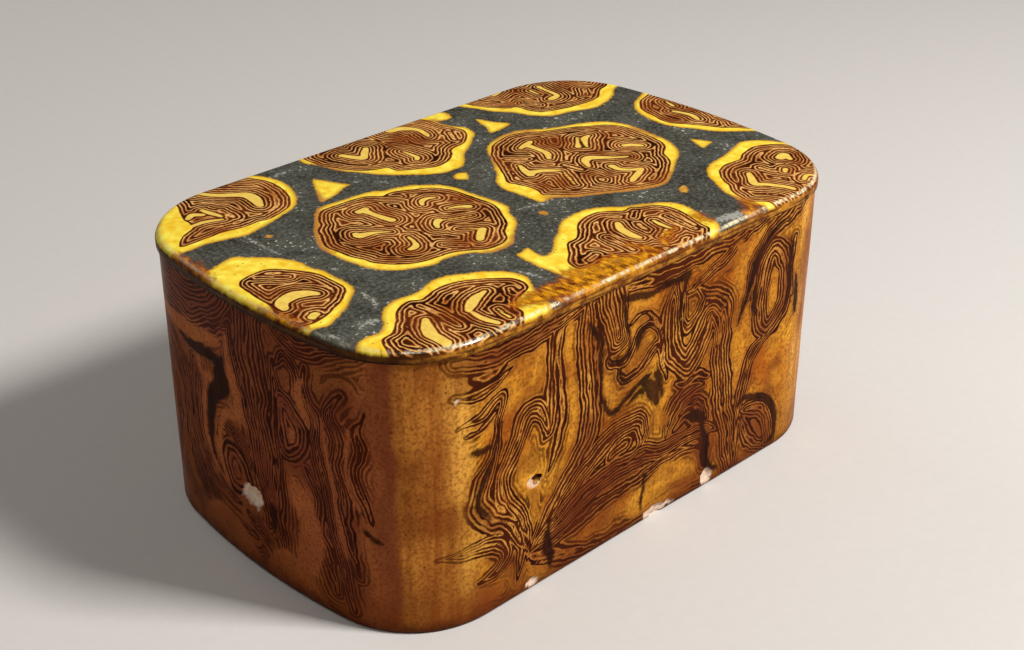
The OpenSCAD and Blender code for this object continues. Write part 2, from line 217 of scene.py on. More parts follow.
# Left end, seen from outside, in the same way, with lengths from its middle towards the front in place of x
LEFT_BANDS = [
    [7, (2.5, 70, 4.6), (2.2, 60, 4.6), (2.6, 50, 5), (4, 42, 4.6), (5, 35, 4), (5.6, 28, 3),
     (6.4, 21, 1.8), (6, 14, 0.5)],
    [8, (-38, 63, 4), (-28, 60.6, 5), (-19.6, 59.4, 5), (-12, 62, 4.6), (-6.4, 67, 4)],
    [3, (-7, 59.6, 0.8), (-3.6, 61, 1.4), (-2.6, 56, 1.4), (-1.6, 48, 1.2), (0.4, 40, 1)],
    [5, (-5.4, 25, 4.6), (-4.6, 22.6, 4.4)],
    [4, (-20.6, 46, 0.6), (-20.4, 40, 1.8), (-20, 33, 2), (-19.6, 26, 1.8), (-16, 20, 1.6),
     (-10, 16.6, 1.2), (-4, 15, 0.4)],
    [4, (13, 48, 2.4), (17, 45, 2.6), (17, 39.6, 2.6), (13.6, 37, 2.4), (12, 42, 2), (13, 48, 2.4)],
    [4, (21, 60, 0.6), (19.6, 54, 1.2), (22.6, 48, 1.5), (21.6, 42, 1.4), (24.4, 35, 1.5), (25.6, 27, 1.6),
     (27.6, 19, 1.5), (29, 11, 1.2), (31, 3, 0.6)],
    [4, (30, 56, 0.5), (26.8, 50.6, 1.3), (28.8, 45, 1.6), (27.4, 39, 1.4), (29.8, 32.6, 1.5),
     (30.2, 26, 1.2), (31.6, 19, 0.8), (32.6, 13, 0.3)],
    [3, (35, 54, 0.4), (32.8, 49, 1), (34.4, 43.6, 1.2), (32.8, 38, 1), (34.6, 32, 0.8), (35.6, 27, 0.3)],
    [3, (9, 34, 0.8), (10.6, 27, 1.5), (9.4, 20, 1.6), (11, 13, 1.4), (12.8, 7, 0.6)],
    [3, (19.4, 35, 0.5), (22, 29, 1.2), (23, 21, 1.4), (25, 13, 1.4), (26.4, 6, 0.8)],
    [3, (-2, 14, 0.6), (2, 11, 1.3), (6, 8, 1.3), (9, 3.4, 0.8)],
    [3, (-20, 18, 0.6), (-15, 12.4, 1.3), (-7, 9.4, 1.5), (0, 8.4, 0.8)],
    [4, (-37, 55, 0.6), (-32.6, 49, 1.5), (-27.6, 43, 2), (-25, 35, 2.2), (-25, 26, 2.1), (-22.4, 17, 1.9),
     (-17, 10, 1.4), (-9, 5.6, 0.5)],
    [3, (-41, 46, 0.4), (-36, 41, 1.2), (-32, 34, 1.6), (-30.6, 26, 1.6), (-31.6, 18, 1.2),
     (-36, 10, 0.3)],
    [3, (11.6, 57, 0.6), (14.6, 60.4, 1.2), (18, 57, 1.3), (17.6, 51.6, 0.8)],
    [3, (10.6, 58, 0.6), (11, 50, 1.4), (10.4, 42, 1.5), (10.6, 34, 1.4), (11.4, 28, 0.6)],
    [4, (12, 66, 1.6), (19, 64, 1.8), (27, 66, 1.6), (36, 69, 1)],
    [3, (-12, 30, 0.6), (-9.6, 33.4, 1), (-6, 32.6, 1), (-1.4, 30.4, 1.2), (1, 26, 1), (1.4, 20, 0.5)],
]
LEFT_DARKS = [
    [(-7.4, 51, 0.6), (-8.8, 47.6, 2.2), (-9, 43, 2.6), (-12.4, 39.4, 2), (-14.4, 34, 1.6), (-15, 28, 1),
     (-14, 23, 0.5)],
    [(-8, 50, 1), (-13, 49.6, 1.5), (-19, 49.4, 1.3), (-26, 50, 0.6)],
    [(6.4, 21, 0.6), (7.2, 17, 1.2), (7.6, 13, 0.4)],
    [(33.4, 26, 0.3), (36, 24, 0.7), (38.6, 23, 0.2)],
]
LEFT_HONEYS = [
    [(-5.6, 57, 0.6), (-5.2, 50, 0.9), (-4, 43, 1.1), (-3.8, 38.6, 1.5), (-7.6, 36, 1.2),
     (-10.6, 31.4, 0.9), (-11.4, 25, 0.7), (-9.6, 20, 0.4)],
    [(-12.4, 42.8, 0.8), (-14.6, 43.2, 0.8), (-16.4, 38, 0.6), (-17, 32, 0.6), (-16.6, 26, 0.6),
     (-14, 20, 0.4)],
    [(-18, 45.4, 0.7), (-16.2, 42, 0.5)],
    [(16, 29, 1), (17, 25, 2.6), (20, 17, 4), (18, 9, 3)],
    [(14.6, 43, 0.9), (15, 41, 0.8)],
    [(24.8, 48, 0.3), (24.6, 42, 0.5), (27, 34.6, 0.4), (28, 26, 0.5), (30, 17, 0.4)],
    [(31.2, 49, 0.3), (31, 43, 0.4), (30.6, 38.6, 0.3), (32.6, 31, 0.4)],
    [(19, 56, 0.6), (18, 52.6, 1.2), (20, 47, 0.6)],
    [(-36, 53, 1.4), (-26, 52.6, 1.8), (-16, 53, 1.6), (-9, 54.6, 0.8)],
    [(-44, 1, 3), (-37, 6, 5), (-30, 3, 4.4), (-22, 1, 2.4), (-13, 5, 6), (-4, 3, 4), (4, 0, 2),
     (12, 5, 5), (22, 1, 2)],
]
LEFT_MURKS = [
    [(-30, 62, 3), (-18, 60, 3), (-8, 64, 2)],
    [(3, 34, 1.4), (6, 26, 2), (7, 16, 1.4)],
    [(26, 30, 2), (30, 18, 2.4), (33, 8, 1.6)],
]

# Yellow eyes of each slice in the top: x, y and half width of each point.
# A half width below nothing makes a nest of layers with no eye in it.
EYES = {
    "back_left": [
        [(-44.6, 32, 0.9), (-43.4, 35.4, 1.4), (-43.6, 39, 1.3), (-46, 41.4, 0.9), (-49.4, 44.6, 0.7),
         (-52.4, 49, 0.6)],
        [(-61, 37, 0.6), (-59, 38, 0.9), (-57.2, 36.4, 0.6)],
        [(-55.8, 38.8, 0.5), (-55.4, 36, 0.7), (-54.6, 33, 0.4)],
        [(-64, 33, 0.4), (-59, 33, 0.6), (-55, 31.4, 0.3)],
        [(-52.6, 36, -0.4), (-52.8, 31, -0.4)],
    ],
    "back_middle": [
        [(-13, 42, 0.7), (-11.4, 39, 0.9), (-10, 37.4, 0.9), (-8, 39.4, 0.9), (-6, 41.6, 0.7)],
        [(-1, 27.6, 0.6), (0, 29, 0.6), (-0.4, 34, 0.2)],
        [(6.4, 46, 1.4), (9.4, 45, 1.2), (11.6, 42, 0.8), (11, 38, 0.6), (10.4, 36.4, 0.3)],
        [(16, 35, -0.4), (14, 31, -0.4)],
    ],
    "back_right": [
        [(55.6, 42.6, 0.7), (55, 39, 0.5), (54.4, 35, 0.7), (52.4, 34.2, 1), (51, 34, 0.5)],
        [(42, 46.6, 0.5), (46, 47.4, 0.4)],
        [(51.8, 42, 0.4), (51.4, 38.6, 0.3)],
        [(44, 37, -0.4), (46, 33, -0.4)],
        [(63, 33, -0.4), (60, 30, -0.4)],
    ],
    "left_end": [
        [(-71, -12.4, 0.8), (-70, -9.6, 1.5), (-67, -8.8, 1.6), (-64.4, -9.8, 1.3), (-62.8, -11.2, 0.8)],
        [(-69.6, -18.8, 0.8), (-68.2, -18.2, 0.9)],
        [(-67, 3, -0.2), (-62, -1, -0.2)],
    ],
    "centre_left": [
        [(-30.6, 13.6, 0.9), (-28.6, 14, 0.8)],
        [(-29.4, 13.4, 1), (-29.3, 11, 0.7), (-28.8, 8, 0.9), (-28.2, 5.4, 0.9)],
        [(-38.8, 5.6, 0.6), (-38.6, 4, 1.2), (-36.6, 3.5, 0.8), (-34.6, 2.6, 0.4), (-32.4, 0.8, 0.2)],
        [(-17.8, 6.8, 0.5), (-16.4, 8.4, 0.7), (-14.4, 8.6, 0.6), (-12.8, 7.6, 0.3)],
        [(-15, 1.4, 0.3), (-12.6, 0.4, 0.5), (-10.8, -1, 0.8)],
        [(-23.2, -4.8, 0.5), (-22.2, -3, 0.8), (-20.8, -2, 0.9)],
        [(-20.4, -2.4, 0.2), (-17, -4, 0.2), (-13.6, -5, 0.1)],
        [(-20.6, -15.8, 0.8), (-18.6, -14, 0.9), (-16.6, -12.4, 0.8)],
        [(-17, -12, 0.2), (-20.4, -8.6, 0.1)],
        [(-35, -8.8, 0.5), (-33.4, -8.6, 0.8), (-32, -6.6, 0.4), (-31.4, -4, 0.3)],
        [(-22, 17.4, -0.2), (-18.6, 14, -0.3)],
        [(-28.6, -12, -0.4), (-25, -16.4, -0.4)],
    ],
    "centre_right": [
        [(21.6, 15.2, 0.5), (24, 16, 0.9), (26.4, 16.8, 0.6)],
        [(24.2, 15, 0.8), (24.4, 11.4, 0.7), (24.2, 8.4, 0.8), (22.4, 6, 0.4)],
        [(14, 7.6, 0.4), (12.8, 4.6, 0.9), (12.4, 2, 1.1)],
        [(13, 2.6, 1), (15.6, 2, 0.8), (17.6, 0.4, 0.7), (19.2, -0.8, 0.3)],
        [(40, 9.4, 0.5), (38, 8.8, 0.9), (36, 6.8, 0.6), (34, 4.4, 0.3)],
        [(37, 10.6, 0.3), (34.6, 8, 0.4), (32.6, 6, 0.7)],
        [(26, -4, 0.5), (27.4, -1.4, 0.9), (29.6, -0.4, 1.1), (31.6, -2, 0.8), (34, -4.2, 0.5),
         (37, -6, 0.3)],
        [(42, -0.8, 0.8), (43.2, -1.6, 0.8), (44.6, -3.6, 0.6)],
        [(30, -7.6, 0.8), (30, -10.4, 0.7), (32, -12.8, 0.6), (33.6, -14, 0.4), (30.4, -15.6, 0.8),
         (27, -17.2, 0.5)],
        [(19.4, -1.6, 0.2), (17.4, -5.4, 0.2), (15.6, -9.4, 0.2)],
        [(22, 1, -0.4), (23, -4, -0.4)],
        [(14.6, 12.4, -0.4), (18, 9.6, -0.4)],
    ],
    "right_end": [
        [(68, 6, 0.5), (69, 2, 0.7), (68, -2, 0.5)],
        [(72, 12, 0.3), (71, 8.6, 0.5)],
        [(71, -8, -0.3), (68, -12, -0.3)],
    ],
    "front_left": [
        [(-53.6, -35, 0.6), (-55.6, -38, 1.3), (-57, -41, 1.4), (-57, -45, 1.2)],
        [(-36.8, -34.6, 0.4), (-40, -35.4, 1), (-43, -36.8, 1.2), (-45, -38.2, 0.7)],
        [(-45, -39.4, 0.4), (-45, -42.6, 0.7), (-44.4, -46, 0.7)],
        [(-50.6, -30, -0.2), (-50.4, -36, -0.3), (-50.6, -42, -0.3)],
        [(-32.4, -37.4, -0.3), (-33.4, -39.4, -0.3)],
        [(-40, -42, 0.2), (-41, -46, 0.3)],
    ],
    "front_middle": [
        [(7, -30.8, 0.7), (5.4, -33, 1), (4.8, -36, 1), (5, -39, 0.6)],
        [(14.2, -35.6, 0.4), (13.6, -38.4, 0.5), (13.8, -41, 0.3)],
        [(-8, -38.6, -0.3), (-11, -39.6, -0.3)],
        [(0, -34, -0.4), (-0.6, -42, -0.4)],
        [(9, -42, 0.3), (12.4, -40.4, 0.4)],
        [(18, -36, -0.3), (17.6, -44, -0.3)],
        [(14.6, -29, -0.3), (12, -31, -0.3)],
    ],
    "front_right": [
        [(50.4, -33.2, 0.6), (48.4, -35.6, 0.9), (46.4, -38, 0.9), (48, -40, 0.7), (49.6, -43, 0.7),
         (50.6, -46, 0.6)],
        [(63.4, -32.4, 1.2), (65.4, -32, 1.2), (64.4, -34.6, 0.6)],
        [(58.6, -37.6, 0.6), (57, -38.8, 0.4)],
        [(56.6, -44.4, 0.5), (59, -43.4, 0.6), (61, -44.6, 0.3)],
        [(55, -33, -0.4), (55.6, -37, -0.4)],
    ],
}


# Outlines on the top, as x and y of points round each: the outer edge of the yellow rim, then the slice's
ROUNDELS = {
    "back_left": (
        [(-78, 24), (-71, 23.4), (-65, 23.6), (-60, 22.4), (-55.6, 21.4), (-51, 22.4), (-46, 23.6),
         (-41, 25), (-37.4, 27.6), (-35, 31.4), (-33.5, 36), (-33.2, 40.5), (-34.4, 45), (-37, 48.6),
         (-42, 52), (-60, 56), (-80, 44)],
        [(-70, 26.4), (-65, 25.8), (-59, 25.8), (-54, 25), (-50, 25.2), (-48, 24.6), (-43.6, 25.2),
         (-40, 26.8), (-37.6, 29.6), (-36, 33.4), (-35.2, 38), (-35.4, 42), (-36.8, 45.8), (-40, 48.6),
         (-48, 51), (-56.6, 49.4), (-58.4, 45), (-60.4, 41), (-62, 37), (-62, 34.6), (-63, 32),
         (-66.6, 30.4)],
    ),
    "back_middle": (
        [(-21.6, 42), (-20, 38), (-19, 34.6), (-16, 30.4), (-13.6, 26.6), (-10, 22.8), (-6, 19.4),
         (-3, 17.4), (0.6, 16.8), (4, 17), (6.4, 18.6), (9.4, 22), (13, 24.6), (17, 27.6), (20, 30),
         (21, 33), (21, 35), (19.6, 37.4), (19, 41), (19.4, 45), (18, 50), (10, 55), (-8, 55), (-20, 50),
         (-22.4, 45)],
        [(-21, 42), (-19.4, 38), (-17.8, 34.6), (-15, 31), (-11.6, 29.2), (-9.6, 28.6), (-9.2, 26),
         (-7.6, 24.4), (-4, 22.4), (0, 21), (4, 21.6), (7, 23.6), (9.4, 26.4), (14, 27.6), (17.6, 30),
         (19.6, 33.6), (18.8, 37), (18.2, 41), (17.6, 46), (10, 53), (-8, 54), (-19.4, 49)],
    ),
    "back_right": (
        [(30.4, 46), (32.4, 42), (34, 38), (36.4, 35), (38.4, 31), (41, 27.4), (44.6, 25), (48.6, 24),
         (52, 22.6), (55.6, 21.8), (59, 22.4), (62.4, 23.4), (65.4, 25), (68.6, 27.4), (72, 28.6),
         (74, 31), (78, 40), (64, 56), (40, 56), (30, 51)],
        [(32.6, 46), (34.4, 42), (36.4, 39), (38.4, 36.6), (40.2, 36), (41, 32), (42.6, 29.6), (46, 27.6),
         (50, 26.4), (54, 26), (58, 26), (61.4, 26.6), (63.8, 28.6), (66, 30), (70, 31.4), (76, 38),
         (64, 54), (40, 54), (33, 50)],
    ),
    "left_end": (
        [(-78, 12), (-72.6, 12.6), (-70, 13.4), (-66.6, 14.2), (-64.6, 14.2), (-62.6, 12), (-60, 9.4),
         (-57.6, 6), (-56.2, 2.6), (-56, -1), (-55, -3.6), (-54.8, -7), (-55, -12), (-56, -15.4),
         (-58.6, -17.8), (-62, -20.4), (-66, -22.4), (-69.6, -23.8), (-73, -22.6), (-77, -21), (-81, -4)],
        [(-71.6, 2.6), (-69.8, 4.4), (-65.6, 5), (-62.6, 4.4), (-60, 1.6), (-57.6, -1.8), (-56.4, -5),
         (-56.2, -10), (-57, -14), (-59.6, -16.6), (-63.6, -18.8), (-68, -20.6), (-73, -20.6),
         (-74.6, -16), (-73, -10), (-72.6, -4), (-72, 0)],
    ),
    "centre_left": (
        [(-36.4, 21.2), (-33, 21.6), (-29, 21.6), (-24, 21.2), (-21, 20.4), (-18.6, 18.8), (-16, 18.4),
         (-12.6, 17), (-9.6, 14.6), (-7, 11.6), (-5.6, 8), (-5, 3), (-4.6, -1), (-4.2, -5), (-4.6, -7.6),
         (-6.6, -10.6), (-7.6, -13.6), (-9.6, -16), (-12.6, -18.2), (-15.4, -20.8), (-18, -22.4),
         (-21, -22.6), (-24, -22), (-26, -20), (-28.6, -18.6), (-32, -17.6), (-36, -18), (-40, -16.6),
         (-43.6, -14.8), (-46.4, -12), (-47.6, -8.6), (-48.6, -4), (-49, 0), (-48.6, 5), (-46.6, 9),
         (-44.6, 12.6), (-42, 15.6), (-39.4, 18.6)],
        [(-37, 19.6), (-33, 20.2), (-28, 20.2), (-24, 19.4), (-21.4, 17), (-19.6, 17.2), (-16.6, 16.8),
         (-13, 14.8), (-10, 12.6), (-7.6, 9.4), (-6.6, 6), (-6, 1), (-5.8, -3), (-6.6, -6.6),
         (-8.6, -10.4), (-10.4, -14), (-13.6, -16.6), (-16.4, -19.6), (-19.6, -20.8), (-23, -20.4),
         (-26, -18.6), (-29, -16.8), (-33, -16), (-38, -15), (-42, -12.6), (-45, -9), (-45.6, -6),
         (-46.8, -3), (-47.4, 1), (-47.4, 5), (-45.6, 9), (-43.6, 12.6), (-41.6, 14.2), (-40.4, 16.4)],
    ),
    "centre_right": (
        [(14.6, 19.4), (17, 22), (20.4, 23.8), (25, 24.4), (29, 24), (32, 22.6), (35, 20.4), (39, 18.8),
         (43, 17.6), (47, 15.4), (50, 12.8), (51.8, 9.6), (52.4, 6), (52.6, 2), (52.2, -3), (51.2, -7),
         (49.4, -11), (46.6, -14.4), (43, -16.6), (39, -19.4), (35, -22), (31, -23.8), (27, -23),
         (23, -21), (19, -18.8), (15, -16.8), (11, -14.8), (7.6, -12), (5, -11), (2.8, -10.8), (2.2, -7),
         (2, -3), (1.6, 0), (2.4, 3), (4, 5.8), (6.6, 8.2), (9, 11.2), (12, 15.4)],
        [(15.4, 19), (18, 21.6), (22, 23), (26, 23.2), (30, 22), (33, 20), (36.6, 18.4), (41, 16.6),
         (45, 14), (48.6, 11.4), (50.4, 8.4), (50.8, 4), (51, 0), (50.4, -4), (48.6, -8), (45, -11),
         (44, -13), (42.6, -15.4), (39, -18.4), (35, -21), (31, -22.8), (27, -21.6), (23, -19.6),
         (19, -17.6), (15, -15.6), (10.6, -13), (7.6, -10.4), (5.6, -8.4), (6.4, -6), (6.6, -3),
         (5.4, 0.6), (5, 3), (7, 6), (9, 9.4), (11, 13), (13, 16.4)],
    ),
    "right_end": (
        [(63, 15), (61, 12), (60, 10), (59.2, 6), (59.2, 2), (60.2, -1.6), (62, -5), (64, -9), (66.4, -12),
         (69, -14.8), (72, -17), (75, -19), (80, 0), (80, 14), (74, 20.6), (70, 19.6), (66, 17.6)],
        [(65, 15), (62.6, 12), (61.6, 8), (60.8, 4), (61.4, 0.4), (63.6, -2.6), (65.6, -6), (67.4, -9.4),
         (70, -12.4), (73, -15.6), (77, -16), (79, 0), (77, 18), (69, 18)],
    ),
    "front_left": (
        [(-70, -33.4), (-67, -32.6), (-63.6, -32.8), (-61, -30.6), (-58.6, -27.8), (-56, -25.8),
         (-53, -24.8), (-50, -25.2), (-47.6, -25.4), (-44, -24.2), (-40.4, -23.4), (-37, -24.2),
         (-34, -25.8), (-30.6, -27.8), (-28, -30.6), (-26.6, -33.6), (-26.4, -36), (-27.4, -38.6),
         (-28.6, -40.6), (-30, -44), (-33, -50), (-50, -56), (-66, -46), (-72, -37)],
        [(-66, -35.8), (-62, -34.4), (-58.6, -31.6), (-56, -29), (-53.6, -27.4), (-51, -27), (-49.4, -28),
         (-48.2, -28.4), (-46.4, -27.6), (-43, -26.8), (-40, -27), (-36.4, -28.2), (-32.6, -30.6),
         (-29.4, -33.4), (-28.2, -36.4), (-29, -39.4), (-31.6, -40.8), (-35, -42), (-37, -44.4),
         (-38, -47), (-44, -51), (-58, -51), (-67, -42)],
    ),
    "front_middle": (
        [(-20.8, -27), (-18.6, -26.2), (-16, -26), (-16.6, -29), (-16.4, -31), (-14.4, -31), (-12, -29.6),
         (-9, -27), (-5.6, -25), (-3, -22.6), (0, -21), (4, -20.6), (8, -21.2), (11.4, -23), (14.4, -25.4),
         (18, -26.8), (21.4, -28.8), (24, -31.4), (25, -34.4), (24.8, -38), (24, -41), (23.8, -45),
         (22, -47.4), (18, -50), (0, -56), (-18, -52), (-20.4, -44), (-20.6, -38), (-21, -32)],
        [(-15.4, -37.4), (-12.6, -34.6), (-9.4, -31.2), (-7.6, -30), (-5, -29.6), (-3, -28), (0, -25),
         (3, -23.6), (7, -23.4), (10.4, -24.8), (13, -26.8), (15, -26.6), (17.4, -28.2), (20.4, -29.8),
         (22, -32.6), (22.2, -36), (21.6, -40), (20.6, -44), (19.4, -47), (12, -52), (2, -52), (-1, -47.6),
         (-4, -44), (-8, -42), (-12, -41.6), (-15.6, -40.6)],
    ),
    "front_right": (
        [(37, -39), (37.4, -36.4), (38.6, -33.8), (40, -31), (41.6, -28), (44, -25.4), (47, -23.6),
         (50.4, -22.8), (54, -22), (58, -21), (61, -20.2), (64, -19.6), (67, -21), (69.4, -23.4),
         (71.4, -26.6), (74, -29), (78, -36), (62, -54), (44, -54), (37.4, -46), (36.4, -42)],
        [(38, -40), (39, -36.6), (41.2, -34), (42, -32), (44, -29.4), (46.6, -27), (50, -25.8), (53, -26),
         (55.4, -26.2), (58, -24.6), (62, -23.6), (65, -23.8), (67, -24.6), (69.4, -26.4), (71.4, -29),
         (76, -36), (62, -52), (46, -52), (40, -46), (37.6, -43)],
    ),
}

# Chips of yellow clay in the grey ground
CHIP_LINES = [
    [(-33.4, 24), (-31, 24), (-28, 24.8), (-24.6, 26.6), (-22.6, 27), (-24, 30), (-26, 34.6), (-27.4, 35),
     (-30, 30)],
    [(23.2, 27.6), (26, 27.4), (31.2, 28.8), (29.6, 32), (27.4, 37), (26, 35), (25, 31)],
    [(17.4, 46), (19.6, 42.8), (23.4, 42.4), (24.4, 46), (22, 50), (18, 50)],
    [(54.4, -15.2), (57, -15), (59, -14.4), (57.6, -11), (56.6, -9.4), (55.4, -12)],
    [(-2.6, 12), (-0.4, 10.6), (1.8, 13.4), (0, 14.6), (-2, 14)],
    [(30.2, -29.4), (31.6, -30.2), (33.6, -27.4), (31.4, -27.6)],
    [(-2, -15), (-1, -16.8), (0.2, -15.4), (-0.8, -14)],
    [(-54, 17.4), (-53, 16.4), (-52.2, 17.6), (-53.2, 18.2)],
]

# Places on the top: amber stains, dull rims and pale wear, each as x, y and half width of its points
STAINS = [
    [(-37, -43.6, 0.6), (-32, -44, 2.4), (-26, -44.6, 3), (-18, -45, 3.4), (-10, -45.6, 3), (-4, -46, 2.6),
     (2, -46.6, 1.2)],
    [(-19, -40, 0.8), (-13, -42.4, 1.2), (-6, -42, 0.6)],
    [(0.6, -40, 0.4), (2, -43, 0.8), (3, -46, 0.6)],
    [(7, -45, 0.6), (11, -42.6, 0.9), (14, -41, 0.4)],
    [(33, -47, 0.8), (35.6, -46, 1.2), (37.4, -43, 0.5)],
    [(-73.6, 24, 0.8), (-73.8, 17, 1), (-74.4, 10, 0.6)],
    [(-74.6, -8, 0.4), (-74.4, -14, 1), (-73, -20, 0.6)],
    [(23, -40, 0.6), (22.6, -43, 0.8)],
]
DULLS = [
    [(-49, 2, 0.6), (-47, 9, 1.6), (-43.6, 14.4, 2), (-39, 19.6, 1.6), (-35, 21.6, 0.6)],
    [(-24, -21.4, 0.6), (-19, -22.4, 1), (-14, -19.4, 0.4)],
    [(6, -11, 1.4), (12, -15, 1.8), (19, -18.6, 1.8), (25, -22, 1.6), (31, -23.4, 1.2), (37, -20.6, 0.8)],
    [(51, 5, 1.2), (52.4, 1, 1.2), (52, -3, 0.6)],
    [(20, 23.6, 0.4), (26, 24, 0.6), (32, 22, 0.4)],
    [(13, 17, 0.4), (10, 12.6, 0.5)],
    [(-21, 40, 1.4), (-19, 35, 0.9)],
    [(37, -40, 0.9), (37.6, -44, 1)],
    [(-54, 17.6, 0.6), (-53, 17, 0.6)],
    [(-2, -15, 1.4), (0, -15.4, 1.2)],
    [(30.6, -28.6, 0.8), (33, -28.4, 0.6)],
    [(16, -27.4, 0.7), (20, -29.4, 0.5)],
    [(19.4, 38, 0.9), (18.6, 44, 0.8)],
    [(-34, 23.6, 0.3), (-32.4, 25, 0.9), (-31, 29, 0.5)],
]
PALES = [
    [(-56.8, 21, 0.2), (-57, 15, 0.4), (-57, 9, 0.2)],
    [(-58.6, 20, 0.2), (-57, 17, 0.5)],
    [(-55.6, -17, 0.2), (-56, -22, 0.6), (-58, -25, 0.3)],
    [(-62.6, -28.4, 1.1), (-60.6, -28.6, 0.5)],
    [(-66, -30, 0.5), (-64, -27, 0.6)],
    [(-72, -26, 0.3), (-71, -30, 0.6)],
    [(-51.6, 6.8, 0.4), (-50.6, 6.6, 0.3)],
    [(-53, -4.6, 0.5), (-52.4, -5.4, 0.3)],
    [(-26, -32, 0.3), (-24.6, -36, 0.6), (-24, -39, 0.3)],
    [(-16.6, 23.6, 0.6), (-15.6, 22, 0.3)],
    [(-21, 27.6, 0.5), (-19.6, 27.4, 0.3)],
    [(25, -45.4, 1.2), (29, -46, 1.6), (33, -46.6, 1)],
    [(40, -46.6, 0.8), (44, -47, 0.6)],
    [(-4, -10.4, 0.2), (0, -10.8, 0.3), (3, -12, 0.6)],
    [(-34, 43, 0.3), (-29.6, 43.4, 0.9)],
]


# The marbling's fields


def smooth_path(points, steps=5):
    """A smooth curve through the points of a stroke, closed if it ends where it starts."""
    p = np.array(points, float)
    if len(p) < 3:
        return p
    closed = bool(np.all(p[0] == p[-1]))
    before = p[-2] if closed else p[0]
    after = p[1] if closed else p[-1]
    q = np.vstack([before, p, after])
    f = np.linspace(0, 1, steps, endpoint=False)[:, None]
    parts = []
    for a, b, c, d in zip(q[:-3], q[1:-2], q[2:-1], q[3:]):
        parts.append(b + f / 2 * (c - a + f * (2 * a - 5 * b + 4 * c - d + f * (3 * (b - c) + d - a))))
    return np.vstack(parts + [p[-1:]])


def stroke_field(places, points):
    """Distance of each place from a stroke, and the stroke's half width there."""
    path = smooth_path(points)
    best_d = np.full(len(places), 1e6)
    best_w = np.ones(len(places))
    for a, b in zip(path[:-1], path[1:]):
        run = b[:2] - a[:2]
        t = np.clip((places - a[:2]) @ run / max(run @ run, 1e-9), 0, 1)
        d = np.hypot(places[:, 0] - a[0] - t * run[0], places[:, 1] - a[1] - t * run[1])
        w = a[2] + t * (b[2] - a[2])
        better = d - w < best_d - best_w
        best_d = np.where(better, d, best_d)
        best_w = np.where(better, w, best_w)
    return best_d, best_w


def nearest(places, strokes):
    """Distance of each place from the edge of the nearest stroke, below nothing inside it."""
    best = np.full(len(places), FAR)
    for points in strokes:
        d, w = stroke_field(places, points)
        best = np.minimum(best, d - w)
    return best


def outline_field(places, points):
    """Distance of each place from a closed outline, below nothing inside it."""
    closed = [(x, y, 0) for x, y in points + points[:1]]
    away, _ = stroke_field(places, closed)
    path = smooth_path(closed)
    inside = np.zeros(len(places), bool)
    for a, b in zip(path[:-1], path[1:]):
        spans = (a[1] > places[:, 1]) != (b[1] > places[:, 1])
        rise = b[1] - a[1] if b[1] != a[1] else 1
        inside ^= spans & (places[:, 0] < a[0] + (places[:, 1] - a[1]) * (b[0] - a[0]) / rise)
    return np.where(inside, -away, away)


def layer_count(places, bands):
    """How many layers deep each place lies in a bundle, counted on below nothing outside it."""
    depth = np.full(len(places), NO_LAYERS)
    for lines, *points in bands:
        d, w = stroke_field(places, points)
        w = w * BAND_SWELL
        pitch = np.where(d < w, np.maximum(2 * w / (CLOSENESS * lines), LEAST_LAYER), LAYER)
        depth = np.maximum(depth, (w - d) / pitch)
    return depth


def drift(places, size, seed, count=SWELLS):
    """Smooth wandering between -0.5 and 0.5, with swells of about this size in millimetres.

    It repeats along the first axis after a count of swells.
    """
    table = np.random.default_rng(seed).random((count, SWELLS))
    at = places / size
    cell = np.floor(at).astype(int)
    f = at - cell
    f = f * f * (3 - 2 * f)
    i, j = cell[:, 0] % count, cell[:, 1] % SWELLS
    k, m = (i + 1) % count, (j + 1) % SWELLS
    low = table[i, j] + (table[k, j] - table[i, j]) * f[:, 0]
    high = table[i, m] + (table[k, m] - table[i, m]) * f[:, 0]
    return low + (high - low) * f[:, 1] - 0.5


def wander(places, wide, fine, seed):
    """The places, moved about as clay that was pressed by hand."""
    moved = places.copy()
    for axis in (0, 1):
        moved[:, axis] += wide * drift(places, 7, seed + axis)
        moved[:, axis] += fine * drift(places, 2, seed + 5 + axis)
    return moved


def give(piece, name, values):
    """Writes one number per point to the piece, for its material to read."""
    field = piece.data.attributes.new(name, "FLOAT", "POINT")
    field.data.foreach_set("value", np.asarray(values, np.float32))


def points_mm(piece):
    """The piece's points in millimetres."""
    co = np.empty(len(piece.data.vertices) * 3, np.float32)
    piece.data.vertices.foreach_get("co", co)
    return co.reshape(-1, 3).astype(float) / MM


def set_points_mm(piece, points):
    """Moves the piece's points to these places in millimetres."""
    piece.data.vertices.foreach_set("co", (np.asarray(points) * MM).astype(np.float32).ravel())
    piece.data.update()


# The outline


